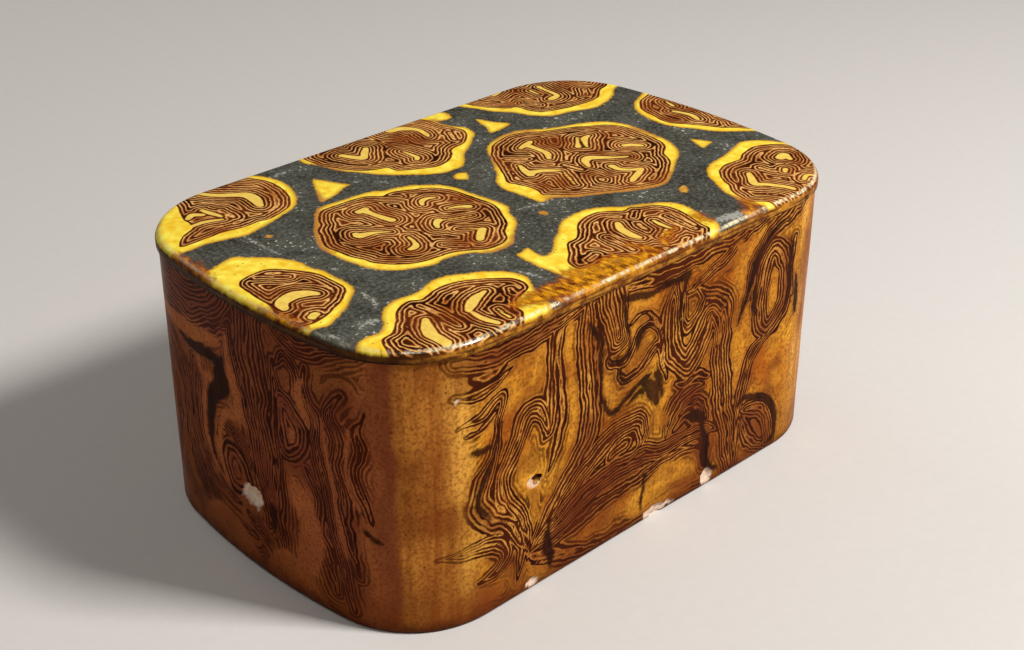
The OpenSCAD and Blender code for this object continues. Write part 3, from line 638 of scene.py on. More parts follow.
def outline_table():
    """The skin's points and outward directions, and the running length along it.

    It starts at the middle of the front and goes round by the right end.
    """
    bow = END_R - SKIN_IN
    corner = CORNER_R - SKIN_IN
    back_y = HALF_W - SKIN_IN
    quarter, half = math.pi / 2, math.pi
    runs = [
        ("line", (0, -back_y), (CORNER_X, -back_y), -quarter),
        ("arc", (CORNER_X, -CORNER_Y), corner, (-quarter, -JOIN_A)),
        ("arc", (BOW_X, 0), bow, (-JOIN_A, JOIN_A)),
        ("arc", (CORNER_X, CORNER_Y), corner, (JOIN_A, quarter)),
        ("line", (CORNER_X, back_y), (-CORNER_X, back_y), quarter),
        ("arc", (-CORNER_X, CORNER_Y), corner, (quarter, half - JOIN_A)),
        ("arc", (-BOW_X, 0), bow, (half - JOIN_A, half + JOIN_A)),
        ("arc", (-CORNER_X, -CORNER_Y), corner, (half + JOIN_A, half + quarter)),
        ("line", (-CORNER_X, -back_y), (0, -back_y), half + quarter),
    ]
    rows = []
    for kind, first, second, turn in runs:
        for f in np.linspace(0, 1, 200, endpoint=False):
            if kind == "line":
                rows.append((first[0] + f * (second[0] - first[0]), first[1], turn))
            else:
                a = turn[0] + f * (turn[1] - turn[0])
                rows.append((first[0] + second * math.cos(a), first[1] + second * math.sin(a), a))
    rows.append((0, -back_y, half + quarter))
    table = np.array(rows)
    steps = np.hypot(np.diff(table[:, 0]), np.diff(table[:, 1]))
    return table, np.concatenate([[0], np.cumsum(steps)])


OUTLINE, RUN = outline_table()
ROUND = RUN[-1]


def skin_at(run, inset):
    """Points at a depth behind the skin, at these lengths round the outline."""
    s = np.mod(run, ROUND)
    a = np.interp(s, RUN, OUTLINE[:, 2])
    x = np.interp(s, RUN, OUTLINE[:, 0]) - inset * np.cos(a)
    y = np.interp(s, RUN, OUTLINE[:, 1]) - inset * np.sin(a)
    return x, y


def drift_round(run, height, size, seed):
    """Wandering on the side that comes back to itself round the outline."""
    count = round(ROUND / size)
    return drift(np.stack([run * count * size / ROUND, height], 1), size, seed, count)


def from_middle(run, middle):
    """Length round the outline from this middle, the shorter way, below nothing before it."""
    return (run - middle + ROUND / 2) % ROUND - ROUND / 2


CORNER_RUN = (CORNER_R - SKIN_IN) * (math.pi / 2 - JOIN_A)
END_RUN = (END_R - SKIN_IN) * 2 * JOIN_A
SIDE_REACH = CORNER_X + SIDE_WRAP * (1 - SKIN_IN / CORNER_R)
END_REACH = END_RUN / 2 + END_WRAP * (1 - SKIN_IN / CORNER_R)
RIGHT_MIDDLE = CORNER_X + CORNER_RUN + END_RUN / 2
BACK_MIDDLE = ROUND / 2
LEFT_MIDDLE = ROUND - RIGHT_MIDDLE

# Where the painted red shade of the left end stops on the front left corner
RED_SHADE_END = ROUND - CORNER_X - 19.6


def edge_distance(x, y):
    """How far a place on the top lies inside the outline of the top sheet."""
    ax, ay = np.abs(x), np.abs(y)
    side = HALF_W - ay
    end = END_R - np.hypot(ax - BOW_X, ay)
    corner = CORNER_R - np.hypot(ax - CORNER_X, ay - CORNER_Y)
    in_corner = (ax > CORNER_X) & (ay - CORNER_Y > (ax - CORNER_X) * math.tan(JOIN_A))
    return np.where(in_corner, corner, np.minimum(side, end))


def worn_top(x, y):
    """Height of the top face, which rolls over at its worn edge."""
    d = np.clip(edge_distance(x, y), 0, EDGE_R)
    return TOP_Z - EDGE_R + np.sqrt(EDGE_R ** 2 - (EDGE_R - d) ** 2)


# Modelling


def start():
    """Leaves edit mode and selects nothing."""
    if bpy.context.object and bpy.context.object.mode == "EDIT":
        bpy.ops.object.mode_set(mode="OBJECT")
    bpy.ops.object.select_all(action="DESELECT")


def pick(piece):
    """Selects this piece alone."""
    start()
    piece.select_set(True)
    bpy.context.view_layer.objects.active = piece


def apply_modifier(piece, kind, **settings):
    """Adds a modifier with its settings and applies it."""
    pick(piece)
    modifier = piece.modifiers.new(kind.title(), kind)
    for name, value in settings.items():
        setattr(modifier, name, value)
    bpy.ops.object.modifier_apply(modifier=modifier.name)


def clean(piece):
    """Closes seams and open ends and turns the faces outwards."""
    pick(piece)
    bpy.ops.object.mode_set(mode="EDIT")
    bpy.ops.mesh.select_all(action="SELECT")
    bpy.ops.mesh.remove_doubles(threshold=0.00001)
    bpy.ops.mesh.dissolve_degenerate(threshold=0.000005)
    bpy.ops.mesh.select_all(action="SELECT")
    bpy.ops.mesh.fill_holes(sides=0)
    bpy.ops.mesh.select_all(action="SELECT")
    bpy.ops.mesh.normals_make_consistent(inside=False)
    bpy.ops.object.mode_set(mode="OBJECT")


def smooth(piece, angle):
    """Shades the piece smooth, apart from edges sharper than this angle in degrees."""
    pick(piece)
    bpy.ops.object.shade_smooth_by_angle(angle=math.radians(angle))


def grid(name, columns, rows):
    """A flat grid with this many points each way, the base of a sheet that is then bent to its place."""
    start()
    bpy.ops.mesh.primitive_grid_add(x_subdivisions=columns - 1, y_subdivisions=rows - 1, size=1)
    piece = bpy.context.object
    piece.name = name
    piece.data.name = name
    return piece


def seat(piece, material, slot, *nodes):
    """Gives a finished piece its material, hangs it on the root body and hides the CAD nodes that it stands
    for.
    """
    piece.data.materials.clear()
    piece.data.materials.append(material)
    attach(piece, "root")
    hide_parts(*nodes)


# Chips in the glaze: length round the outline, height, half width, half height, depth
CHIPS = [
    (LEFT_MIDDLE + 0.2, 19, 4, 2.8, 0.9),
    (4.8, 1.4, 5.2, 1.5, 0.8),
    (22.8, 2.8, 1.6, 2.4, 0.8),
    (-36, 2, 2, 0.8, 0.5),
    (-56.4, 56, 0.7, 0.5, 0.2),
    (VENT_X - 0.9, VENT_Z - 0.3, 2.1, 1.5, 0.5),
    (BACK_MIDDLE + 21, 2, 3.4, 1.6, 0.7),
    (BACK_MIDDLE - 40, 44, 1.6, 1.1, 0.5),
    (RIGHT_MIDDLE - 14, 1.8, 2.8, 1.4, 0.7),
]


def chipped(run, height):
    """How deep the glaze is chipped at each place, and how bare the clay is there."""
    ragged = 0.5 * drift_round(run, height, 1.6, 31) + 0.35 * drift_round(run, height, 0.7, 32)
    depth = np.zeros(len(run))
    bare = np.zeros(len(run))
    for s, z, wide, tall, deep in CHIPS:
        reach = 1 - np.hypot(from_middle(run, s) / wide, (height - z) / tall) + ragged
        depth = np.maximum(depth, deep * np.clip(reach / 0.35, 0, 1))
        bare = np.maximum(bare, np.clip(reach / 0.12, 0, 1))
    return depth * (1 + 0.6 * ragged), bare


def side_piece(name, low, high):
    """A sheet of clay on the side: a grid bent round the outline, with a back, a foot and closed ends."""
    columns = int(round((high - low) / CELL)) + 1
    foot = FOOT_R * np.array([1, 0.62, 0.34, 0.13, 0])
    foot_z = FOOT_R * np.array([0, 0.08, 0.25, 0.5, 1])
    walls = int(round((SHEET_Z - 2 * FOOT_R) / CELL))
    up = np.linspace(FOOT_R, SHEET_Z - BEVEL, walls)[1:]
    inset = np.concatenate([[SKIN_T], foot, np.zeros(len(up)), [BEVEL, SKIN_T, SKIN_T]])
    height = np.concatenate([[0], foot_z, up, [SHEET_Z, SHEET_Z, 0]])
    piece = grid(name, columns, len(inset))
    run = np.linspace(low, high, columns)
    all_run = np.tile(run, len(inset))
    all_inset = np.repeat(inset, columns)
    all_height = np.repeat(height, columns)
    outer = all_inset < SKIN_T - 0.01
    swell = 0.15 + 0.22 * drift_round(all_run, all_height, 26, 41)
    swell = swell + 0.08 * drift_round(all_run, all_height, 9, 42)
    depth, bare = chipped(all_run, all_height)
    x, y = skin_at(all_run, all_inset + np.where(outer, swell + depth, 0))
    set_points_mm(piece, np.stack([x, y, all_height], 1))
    give(piece, "run", all_run)
    give(piece, "bare", np.where(outer, bare, 0))
    clean(piece)
    return piece


def bore_vent(piece):
    """Cuts the ragged firing vent through the front sheet."""
    start()
    bpy.ops.mesh.primitive_cylinder_add(vertices=20, radius=VENT_R * MM, depth=0.02,
                                        location=(VENT_X * MM, -HALF_W * MM, VENT_Z * MM),
                                        rotation=(math.pi / 2, 0, 0))
    drill = bpy.context.object
    bpy.ops.object.transform_apply(location=True, rotation=True, scale=True)
    points = points_mm(drill)
    turn = np.arctan2(points[:, 2] - VENT_Z, points[:, 0] - VENT_X)
    ragged = 0.84 + 0.1 * np.sin(3 * turn + 0.6) + 0.06 * np.sin(5 * turn)
    points[:, 0] = VENT_X + (points[:, 0] - VENT_X) * ragged
    points[:, 2] = VENT_Z + (points[:, 2] - VENT_Z) * ragged
    set_points_mm(drill, points)
    apply_modifier(piece, "BOOLEAN", object=drill, operation="DIFFERENCE", solver="EXACT")
    bpy.data.objects.remove(drill)


def read(piece, name):
    """The values of one of the piece's own fields."""
    values = np.empty(len(piece.data.vertices), np.float32)
    piece.data.attributes[name].data.foreach_get("value", values)
    return values.astype(float)


# Sides: middle of the run, which way along and up the strokes are read, how far they reach, and the strokes.
# The back and the right end are read turned half round.
FACES = [
    (0, 1, 76, FRONT_BANDS, FRONT_DARKS, FRONT_HONEYS, FRONT_MURKS, 11),
    (RIGHT_MIDDLE, -1, 58, LEFT_BANDS, LEFT_DARKS, LEFT_HONEYS, LEFT_MURKS, 41),
    (BACK_MIDDLE, -1, 76, FRONT_BANDS, FRONT_DARKS, FRONT_HONEYS, FRONT_MURKS, 21),
    (LEFT_MIDDLE, 1, 58, LEFT_BANDS, LEFT_DARKS, LEFT_HONEYS, LEFT_MURKS, 31),
]
STRIPS = {
    "front_right": (SIDE_REACH, RIGHT_MIDDLE - END_REACH),
    "back_right": (RIGHT_MIDDLE + END_REACH, BACK_MIDDLE - SIDE_REACH),
    "back_left": (BACK_MIDDLE + SIDE_REACH, LEFT_MIDDLE - END_REACH),
    "front_left": (LEFT_MIDDLE + END_REACH, ROUND - SIDE_REACH),
}


def marble_side(piece):
    """Draws the marbling of a piece of the side.

    Its fields are the layers, the dark patches, the plain places, the murky places, the amber strips, the
    painted shade and painted red reflection, most on the left end, the ends, where lines crowd closer, and
    the painted light on the strips beside the long sides.
    """
    run, height = read(piece, "run"), points_mm(piece)[:, 2]
    layers = np.full(len(run), NO_LAYERS)
    dark = np.full(len(run), FAR)
    plain = np.full(len(run), FAR)
    murk = np.full(len(run), FAR)
    for middle, way, reach, bands, darks, honeys, murks, seed in FACES:
        along = from_middle(run, middle)
        near = np.abs(along) < reach
        places = np.stack([way * along, height if way == 1 else SHEET_Z - height], 1)[near]
        moved = wander(places, 1.8, 0.5, seed)
        layers[near] = np.maximum(layers[near], layer_count(moved, bands))
        dark[near] = np.minimum(dark[near], nearest(moved, darks))
        plain[near] = np.minimum(plain[near], nearest(moved, honeys))
        murk[near] = np.minimum(murk[near], nearest(moved, murks))
    ragged = 6 * drift_round(run, height, 12, 51) + 3 * drift_round(run, height, 4, 52)
    amber = np.zeros(len(run))
    at = np.mod(run, ROUND)
    for low, high in STRIPS.values():
        amber = np.maximum(amber, np.clip(0.5 + (np.minimum(at - low, high - at) + ragged) / 6, 0, 1))
    # Painted shade and painted red reflection: full on the left end, half on the right end and the back,
    # fading out on the front left corner
    stops = [0, SIDE_REACH, RIGHT_MIDDLE, BACK_MIDDLE, LEFT_MIDDLE,
             RED_SHADE_END - 1, RED_SHADE_END + 1, ROUND - SIDE_REACH, ROUND]
    painted_red_shade = np.interp(at + 0.3 * ragged, stops, [0, 0, 0.5, 0.5, 1, 1, 0.1, 0, 0])
    ends = [np.abs(from_middle(run, middle)) for middle in (RIGHT_MIDDLE, LEFT_MIDDLE)]
    crowd = np.clip((END_REACH - np.minimum(*ends)) / 6, 0, 1)
    # Painted light: the strips are lit brighter where they meet the front and the back
    beside = [np.abs(from_middle(run, middle + reach))
              for middle in (0, BACK_MIDDLE) for reach in (-SIDE_REACH, SIDE_REACH)]
    painted_strip_light = np.clip(1.2 - np.min(beside, 0) / 7, 0, 1)
    fields = {"layers": layers, "dark": dark, "plain": plain, "murk": murk, "amber": amber, "painted_red_shade": painted_red_shade,
              "crowd": crowd, "painted_strip_light": painted_strip_light}
    for name, values in fields.items():
        give(piece, name, values)


def underside_border(node):
    """The border of a CAD solid at the underside of the top sheet, as pairs of points in millimetres."""
    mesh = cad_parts[node].data
    spots = [tuple(round(c / MM, 3) for c in v.co) for v in mesh.vertices]
    sides = {}
    for face in mesh.polygons:
        ring = [spots[i] for i in face.vertices]
        if all(abs(spot[2] - SHEET_Z) < 0.02 for spot in ring):
            for a, b in zip(ring, ring[1:] + ring[:1]):
                side = tuple(sorted((a[:2], b[:2])))
                sides[side] = sides.get(side, 0) + 1
    return [side for side, count in sides.items() if count == 1]


def top_triangles(nodes):
    """The top in small triangles, cut along the borders of its pieces, with close rows at its edge."""
    points, edges = [], []
    for node in nodes:
        for a, b in underside_border(node):
            count = max(1, math.ceil(math.dist(a, b) / TOP_CELL))
            edges += [(len(points) + k, len(points) + k + 1) for k in range(count)]
            for k in range(count + 1):
                f = k / count
                points.append((a[0] + f * (b[0] - a[0]), a[1] + f * (b[1] - a[1])))
    run = np.arange(0, ROUND, TOP_CELL)
    for roll in (15, 30, 45, 60, 75, 90):
        points += list(zip(*skin_at(run, EDGE_R * (1 - math.cos(math.radians(roll))) - SKIN_IN)))
    x, y = np.meshgrid(np.arange(-HALF_L, HALF_L, TOP_CELL), np.arange(-HALF_W, HALF_W, TOP_CELL))
    flat = edge_distance(x, y) > EDGE_R + TOP_CELL / 2
    points += list(zip(x[flat], y[flat]))
    spots, _, triangles, _, _, _ = delaunay_2d_cdt([Vector(p) for p in points], edges, [], 0, 0.002)
    return np.array(spots), np.array(triangles)


def inlay_fields(at):
    """The drawing of the top at each place: outlines, the layers and eyes of the slices, and wear."""
    moved = wander(at, 0.6, 0.22, 60)
    fields = {name: np.full(len(at), 9.0) for name in ("outer", "inner", "layers", "eye")}
    for place, (rim, edge) in ROUNDELS.items():
        low, high = np.min(rim, 0) - 4, np.max(rim, 0) + 4
        near = np.all((at > low) & (at < high), 1)
        outer, inner = outline_field(moved[near], rim), outline_field(moved[near], edge)
        eyes = [nearest(moved[near], [points]) for points in EYES[place]]
        eye = np.min(eyes, 0)
        merged = -SLICE_BLEND * np.log(sum(np.exp(-reach / SLICE_BLEND) for reach in eyes + [-inner]))
        fields["layers"][near] = np.where(inner < 1, merged / SLICE_LAYER, fields["layers"][near])
        for name, values in (("outer", outer), ("inner", inner), ("eye", eye)):
            fields[name][near] = np.minimum(fields[name][near], values)
    for chip in CHIP_LINES:
        near = np.all((at > np.min(chip, 0) - 4) & (at < np.max(chip, 0) + 4), 1)
        fields["outer"][near] = np.minimum(fields["outer"][near], outline_field(moved[near], chip))
    for name, strokes in (("stain", STAINS), ("dull", DULLS), ("pale", PALES)):
        fields[name] = nearest(moved, strokes)
    return fields


def top_pieces(names):
    """The pieces of the top, small triangles on a flat back, by the CAD node that each stands for."""
    spots, triangles = top_triangles(list(names))
    fields = inlay_fields(spots)
    height = worn_top(spots[:, 0], spots[:, 1])
    owners = {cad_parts[node]: node for node in names}
    view = bpy.context.evaluated_depsgraph_get()
    shares = {node: [] for node in names}
    for triangle in triangles[edge_distance(*spots[triangles].mean(1).T) > 0]:
        x, y = spots[triangle].mean(0) * MM
        hit = bpy.context.scene.ray_cast(view, (x, y, 0.1), (0, 0, -1))[4]
        if hit and hit.original in owners:
            shares[owners[hit.original]].append(triangle)
    pieces = {}
    for node, share in shares.items():
        used, faces = np.unique(np.array(share), return_inverse=True)
        mesh = bpy.data.meshes.new(names[node])
        corners = np.column_stack([spots, height])[used] * MM
        mesh.from_pydata(corners.tolist(), [], faces.reshape(-1, 3).tolist())
        piece = bpy.data.objects.new(names[node], mesh)
        bpy.context.scene.collection.objects.link(piece)
        for name, values in fields.items():
            give(piece, name, values[used])
        pick(piece)
        bpy.ops.object.mode_set(mode="EDIT")
        bpy.ops.mesh.select_all(action="SELECT")
        bpy.ops.mesh.extrude_region_move(TRANSFORM_OT_translate={"value": (0, 0, -0.01)})
        bpy.ops.object.mode_set(mode="OBJECT")
        points = points_mm(piece)
        points[:, 2] = np.where(points[:, 2] < SHEET_Z, SHEET_Z, points[:, 2])
        set_points_mm(piece, points)
        clean(piece)
        smooth(piece, 50)
        pieces[node] = piece
    return pieces


# Materials


def hue(code):
    """A colour written as sRGB hex, in linear light."""
    parts = [int(code[i:i + 2], 16) / 255 for i in (1, 3, 5)]
    return tuple(c / 12.92 if c <= 0.04045 else ((c + 0.055) / 1.055) ** 2.4 for c in parts) + (1,)


def add(tree, kind, feeds=None, **settings):
    """Adds a node with its settings.

    Each feed is a socket with a value, a node, or one output of a node.
    """
    node = tree.nodes.new(kind)
    for name, value in settings.items():
        setattr(node, name, value)
    for socket, value in (feeds or {}).items():
        if isinstance(value, bpy.types.Node):
            value = next(o for o in value.outputs if o.enabled)
        if isinstance(value, bpy.types.NodeSocket):
            tree.links.new(value, node.inputs[socket])
        else:
            node.inputs[socket].default_value = value
    return node


MATH = "ShaderNodeMath"
MIX = "ShaderNodeMix"
RANGE = "ShaderNodeMapRange"
NOISE = "ShaderNodeTexNoise"
FIELD = "ShaderNodeAttribute"

# Sockets of a mix of two numbers, of a mix of two colours and of a map range
FACTOR, NUMBER_A, NUMBER_B, COLOUR_A, COLOUR_B = 0, 2, 3, 6, 7
VALUE, FROM_LOW, FROM_HIGH, TO_LOW, TO_HIGH = 0, 1, 2, 3, 4


def finish_of(name):
    """A new material, with its shader and the place on the object in millimetres.

    A noise on that place with a scale of 1 / 6 has swells of about 6 mm.
    """
    material = bpy.data.materials.new(name)
    material.use_nodes = True
    tree = material.node_tree
    tree.nodes.clear()
    shader = add(tree, "ShaderNodeBsdfPrincipled")
    add(tree, "ShaderNodeOutputMaterial", {"Surface": shader})
    spot = add(tree, "ShaderNodeTexCoord")
    place = add(tree, "ShaderNodeVectorMath", {0: spot.outputs["Object"], "Scale": 1 / MM},
                operation="SCALE")
    return material, tree, shader, place


def relief(tree, shader, height, depth_mm, strength):
    """Feeds a height to the shader as a bump of this depth."""
    bump = add(tree, "ShaderNodeBump", {"Height": height, "Distance": depth_mm * MM, "Strength": strength})
    tree.links.new(bump.outputs[0], shader.inputs["Normal"])


def read_fields(tree, *names):
    """The outputs of the piece's own fields."""
    return [add(tree, FIELD, attribute_name=name).outputs["Fac"] for name in names]


def marbled_glaze():
    """Marbled stoneware, with plain strips, under a clear amber lead glaze.

    It gives the eye thin dark layers in honey clay, streaks of pooled amber, and a satin gloss with pits.
    """
    material, tree, shader, place = finish_of("marbled_clay_under_amber_glaze")
    layers, dark, plain, murk, bare = read_fields(tree, "layers", "dark", "plain", "murk", "bare")
    strip, painted_red_shade, crowd, painted_strip_light = read_fields(tree, "amber", "painted_red_shade", "crowd", "painted_strip_light")
    height = add(tree, "ShaderNodeSeparateXYZ", {0: place}).outputs["Z"]
    swell = add(tree, NOISE, {"Vector": place, "Scale": 1 / 6, "Detail": 2.0})
    shake = add(tree, NOISE, {"Vector": place, "Scale": 1 / 1.6, "Detail": 3.0})
    pools = add(tree, NOISE, {"Vector": place, "Scale": 1 / 14, "Detail": 3.0})
    uneven = add(tree, NOISE, {"Vector": place, "Scale": 1 / 3, "Detail": 2.0})
    patchy = add(tree, NOISE, {"Vector": place, "Scale": 1 / 8, "Detail": 1.0})

    # Layers, counted into the bundles, each with a thickness of its own
    swayed = add(tree, MATH, {0: swell, 1: 1.8, 2: layers}, operation="MULTIPLY_ADD")
    shaken = add(tree, MATH, {0: shake, 1: 0.3, 2: swayed}, operation="MULTIPLY_ADD")
    depth = add(tree, MATH, {0: shaken, 1: 1.05}, operation="SUBTRACT")
    number = add(tree, MATH, {0: depth}, operation="FLOOR")
    own = add(tree, MATH, {0: number, 1: 5.3}, operation="MULTIPLY")
    lot = add(tree, NOISE, {"Vector": place, "W": own, "Scale": 1 / 16, "Detail": 0.0},
              noise_dimensions="4D")
    chance = add(tree, RANGE, {VALUE: lot, FROM_LOW: 0.3, FROM_HIGH: 0.7})
    across = add(tree, MATH, {0: depth}, operation="FRACT")
    off = add(tree, MATH, {0: across, 1: 0.5}, operation="SUBTRACT")
    away = add(tree, MATH, {0: off}, operation="ABSOLUTE")
    inside = add(tree, RANGE, {VALUE: depth, FROM_LOW: -0.4, FROM_HIGH: 0.4},
                 interpolation_type="SMOOTHSTEP")
    thick_in = add(tree, RANGE, {VALUE: chance, TO_LOW: 0.12, TO_HIGH: 0.34})
    thick_out = add(tree, RANGE,
                    {VALUE: chance, FROM_LOW: 0.15, FROM_HIGH: 0.45, TO_LOW: -0.1, TO_HIGH: 0.3})
    first = add(tree, MATH, {0: depth, 1: 0.5, 2: 0.5}, operation="COMPARE")
    bold = add(tree, MATH, {0: first, 1: 0.1, 2: thick_in}, operation="MULTIPLY_ADD")
    thick = add(tree, MIX, {FACTOR: inside, NUMBER_A: thick_out, NUMBER_B: bold})
    reach = add(tree, MATH, {0: uneven, 1: 0.5, 2: thick}, operation="MULTIPLY_ADD")
    gap = add(tree, MATH, {0: away, 1: reach}, operation="SUBTRACT")
    line = add(tree, RANGE, {VALUE: gap, FROM_LOW: -0.34, FROM_HIGH: -0.16, TO_LOW: 1.0, TO_HIGH: 0.0})
    narrow = add(tree, MATH, {0: uneven, 1: -0.5, 2: away}, operation="MULTIPLY_ADD")
    bright = add(tree, RANGE, {VALUE: narrow, FROM_LOW: 0.04, FROM_HIGH: 0.2})
    strand = add(tree, MATH, {0: depth, 1: 2.4}, operation="MULTIPLY")
    flow = add(tree, NOISE, {"Vector": place, "W": strand, "Scale": 1 / 9, "Detail": 2.0},
               noise_dimensions="4D")

    # Lines weaken away from the bundles and on the plain places
    far = add(tree, MATH, {0: crowd, 1: -9.0, 2: -4.0}, operation="MULTIPLY_ADD")
    fade = add(tree, RANGE, {VALUE: depth, FROM_LOW: far, FROM_HIGH: -0.5, TO_LOW: 0.0, TO_HIGH: 0.9})
    weak = add(tree, MATH, {0: crowd, 1: 0.35, 2: 0.45}, operation="MULTIPLY_ADD")
    kept = add(tree, RANGE, {VALUE: patchy, FROM_LOW: 0.36, FROM_HIGH: 0.56, TO_LOW: weak})
    faded = add(tree, MATH, {0: fade, 1: kept}, operation="MULTIPLY")
    sheet = add(tree, RANGE, {VALUE: strip, FROM_LOW: 0.3, FROM_HIGH: 0.7, TO_LOW: 1.0, TO_HIGH: 0.0})
    outside = add(tree, MATH, {0: faded, 1: sheet}, operation="MULTIPLY")
    firm = add(tree, RANGE, {VALUE: strip, FROM_LOW: 0.6, FROM_HIGH: 1.0, TO_LOW: 1.0, TO_HIGH: 0.7})
    strength = add(tree, MIX, {FACTOR: inside, NUMBER_A: outside, NUMBER_B: firm})
    lined = add(tree, RANGE, {VALUE: plain, FROM_LOW: -0.5, FROM_HIGH: 0.7},
                interpolation_type="SMOOTHSTEP")
    drawn = add(tree, MATH, {0: line, 1: strength}, operation="MULTIPLY")
    layered = add(tree, MATH, {0: drawn, 1: lined}, operation="MULTIPLY")
    ragged = add(tree, MATH, {0: shake, 1: 1.6, 2: dark}, operation="MULTIPLY_ADD")
    patch = add(tree, RANGE, {VALUE: ragged, FROM_LOW: 0.5, FROM_HIGH: 1.2, TO_LOW: 0.95, TO_HIGH: 0.0})

    # Honey clay between the layers, and the streaked amber of the strips
    pooled = add(tree, RANGE, {VALUE: pools, FROM_LOW: 0.35, FROM_HIGH: 0.65})
    gold = add(tree, MIX, {FACTOR: pooled, COLOUR_A: hue("#a85a12"), COLOUR_B: hue("#e6a030")},
               data_type="RGBA")
    beside = add(tree, RANGE, {VALUE: depth, FROM_LOW: -2.5, FROM_HIGH: 0.0, TO_HIGH: 0.5})
    browned = add(tree, MIX, {FACTOR: beside, COLOUR_A: gold, COLOUR_B: hue("#8a4614")}, data_type="RGBA")
    grained = add(tree, RANGE, {VALUE: flow, FROM_LOW: 0.46, FROM_HIGH: 0.64, TO_HIGH: 0.6})
    honey = add(tree, MIX, {FACTOR: grained, COLOUR_A: browned, COLOUR_B: hue("#6a320e")}, data_type="RGBA")
    between = add(tree, MATH, {0: inside, 1: lined}, operation="MULTIPLY")
    rod = add(tree, MIX, {FACTOR: chance, COLOUR_A: hue("#824214"), COLOUR_B: hue("#54260a")},
              data_type="RGBA")
    pale = add(tree, MIX, {FACTOR: pooled, COLOUR_A: hue("#a4601e"), COLOUR_B: hue("#d29440")},
               data_type="RGBA")
    gilded = add(tree, MIX, {FACTOR: bright, COLOUR_A: rod, COLOUR_B: pale}, data_type="RGBA")
    clear = add(tree, MIX, {FACTOR: between, COLOUR_A: honey, COLOUR_B: gilded}, data_type="RGBA")
    veil = add(tree, MATH, {0: uneven, 1: 5.0, 2: murk}, operation="MULTIPLY_ADD")
    murky = add(tree, RANGE, {VALUE: veil, FROM_LOW: 1.0, FROM_HIGH: 4.0, TO_LOW: 0.75, TO_HIGH: 0.0})
    light = add(tree, MIX, {FACTOR: murky, COLOUR_A: clear, COLOUR_B: hue("#6a2e14")}, data_type="RGBA")
    runs = add(tree, "ShaderNodeMapping", {"Vector": place, "Scale": (1 / 4, 1 / 4, 1 / 50)})
    streaks = add(tree, NOISE, {"Vector": runs, "Scale": 1.0, "Detail": 6.0, "Roughness": 0.65})
    streaked = add(tree, RANGE, {VALUE: streaks, FROM_LOW: 0.35, FROM_HIGH: 0.65})
    runny = add(tree, MIX, {FACTOR: streaked, COLOUR_A: hue("#94501c"), COLOUR_B: hue("#d48a38")},
                data_type="RGBA")
    # Painted light on the strips beside the long sides, broken up by the streaks
    gleam = add(tree, RANGE, {VALUE: streaks, FROM_LOW: 0.3, FROM_HIGH: 0.6, TO_LOW: 0.15, TO_HIGH: 0.8})
    strip_lit_gold = add(tree, MATH, {0: painted_strip_light, 1: gleam}, operation="MULTIPLY")
    amber = add(tree, MIX, {FACTOR: strip_lit_gold, COLOUR_A: runny, COLOUR_B: hue("#eeb048")}, data_type="RGBA")
    blots = add(tree, NOISE, {"Vector": place, "Scale": 1 / 20, "Detail": 6.0})
    scorch = add(tree, RANGE, {VALUE: blots, FROM_LOW: 0.48, FROM_HIGH: 0.64, TO_HIGH: 0.7})
    scorched = add(tree, MIX, {FACTOR: scorch, COLOUR_A: amber, COLOUR_B: hue("#6e2f0c")}, data_type="RGBA")
    plain_base = add(tree, MIX, {FACTOR: strip, COLOUR_A: light, COLOUR_B: scorched}, data_type="RGBA")

    # Painted shade and painted red reflection, most on the left end, then grit that is coarser than the real
    # one so that it shows, and painted shade low down and at the foot
    red_shade_share = add(tree, MATH, {0: painted_red_shade, 1: 0.85}, operation="MULTIPLY")
    spared = add(tree, RANGE, {VALUE: plain, FROM_LOW: -0.5, FROM_HIGH: 2.5})
    sheeted = add(tree, MATH, {0: crowd, 1: spared}, operation="MULTIPLY")
    dusky = add(tree, MATH, {0: sheeted, 1: strip}, operation="MAXIMUM")
    red = add(tree, MIX, {FACTOR: dusky, COLOUR_A: hue("#b4623a"), COLOUR_B: hue("#7e3a26")},
              data_type="RGBA")
    red_shaded = add(tree, MIX, {FACTOR: red_shade_share, COLOUR_A: plain_base, COLOUR_B: red}, data_type="RGBA")
    grit = add(tree, NOISE, {"Vector": place, "Scale": 1 / 0.7, "Detail": 4.0})
    mottle = add(tree, RANGE, {VALUE: grit, FROM_LOW: 0.44, FROM_HIGH: 0.68, TO_HIGH: 0.65})
    base = add(tree, MIX, {FACTOR: mottle, COLOUR_A: red_shaded, COLOUR_B: hue("#6a3210")}, data_type="RGBA")
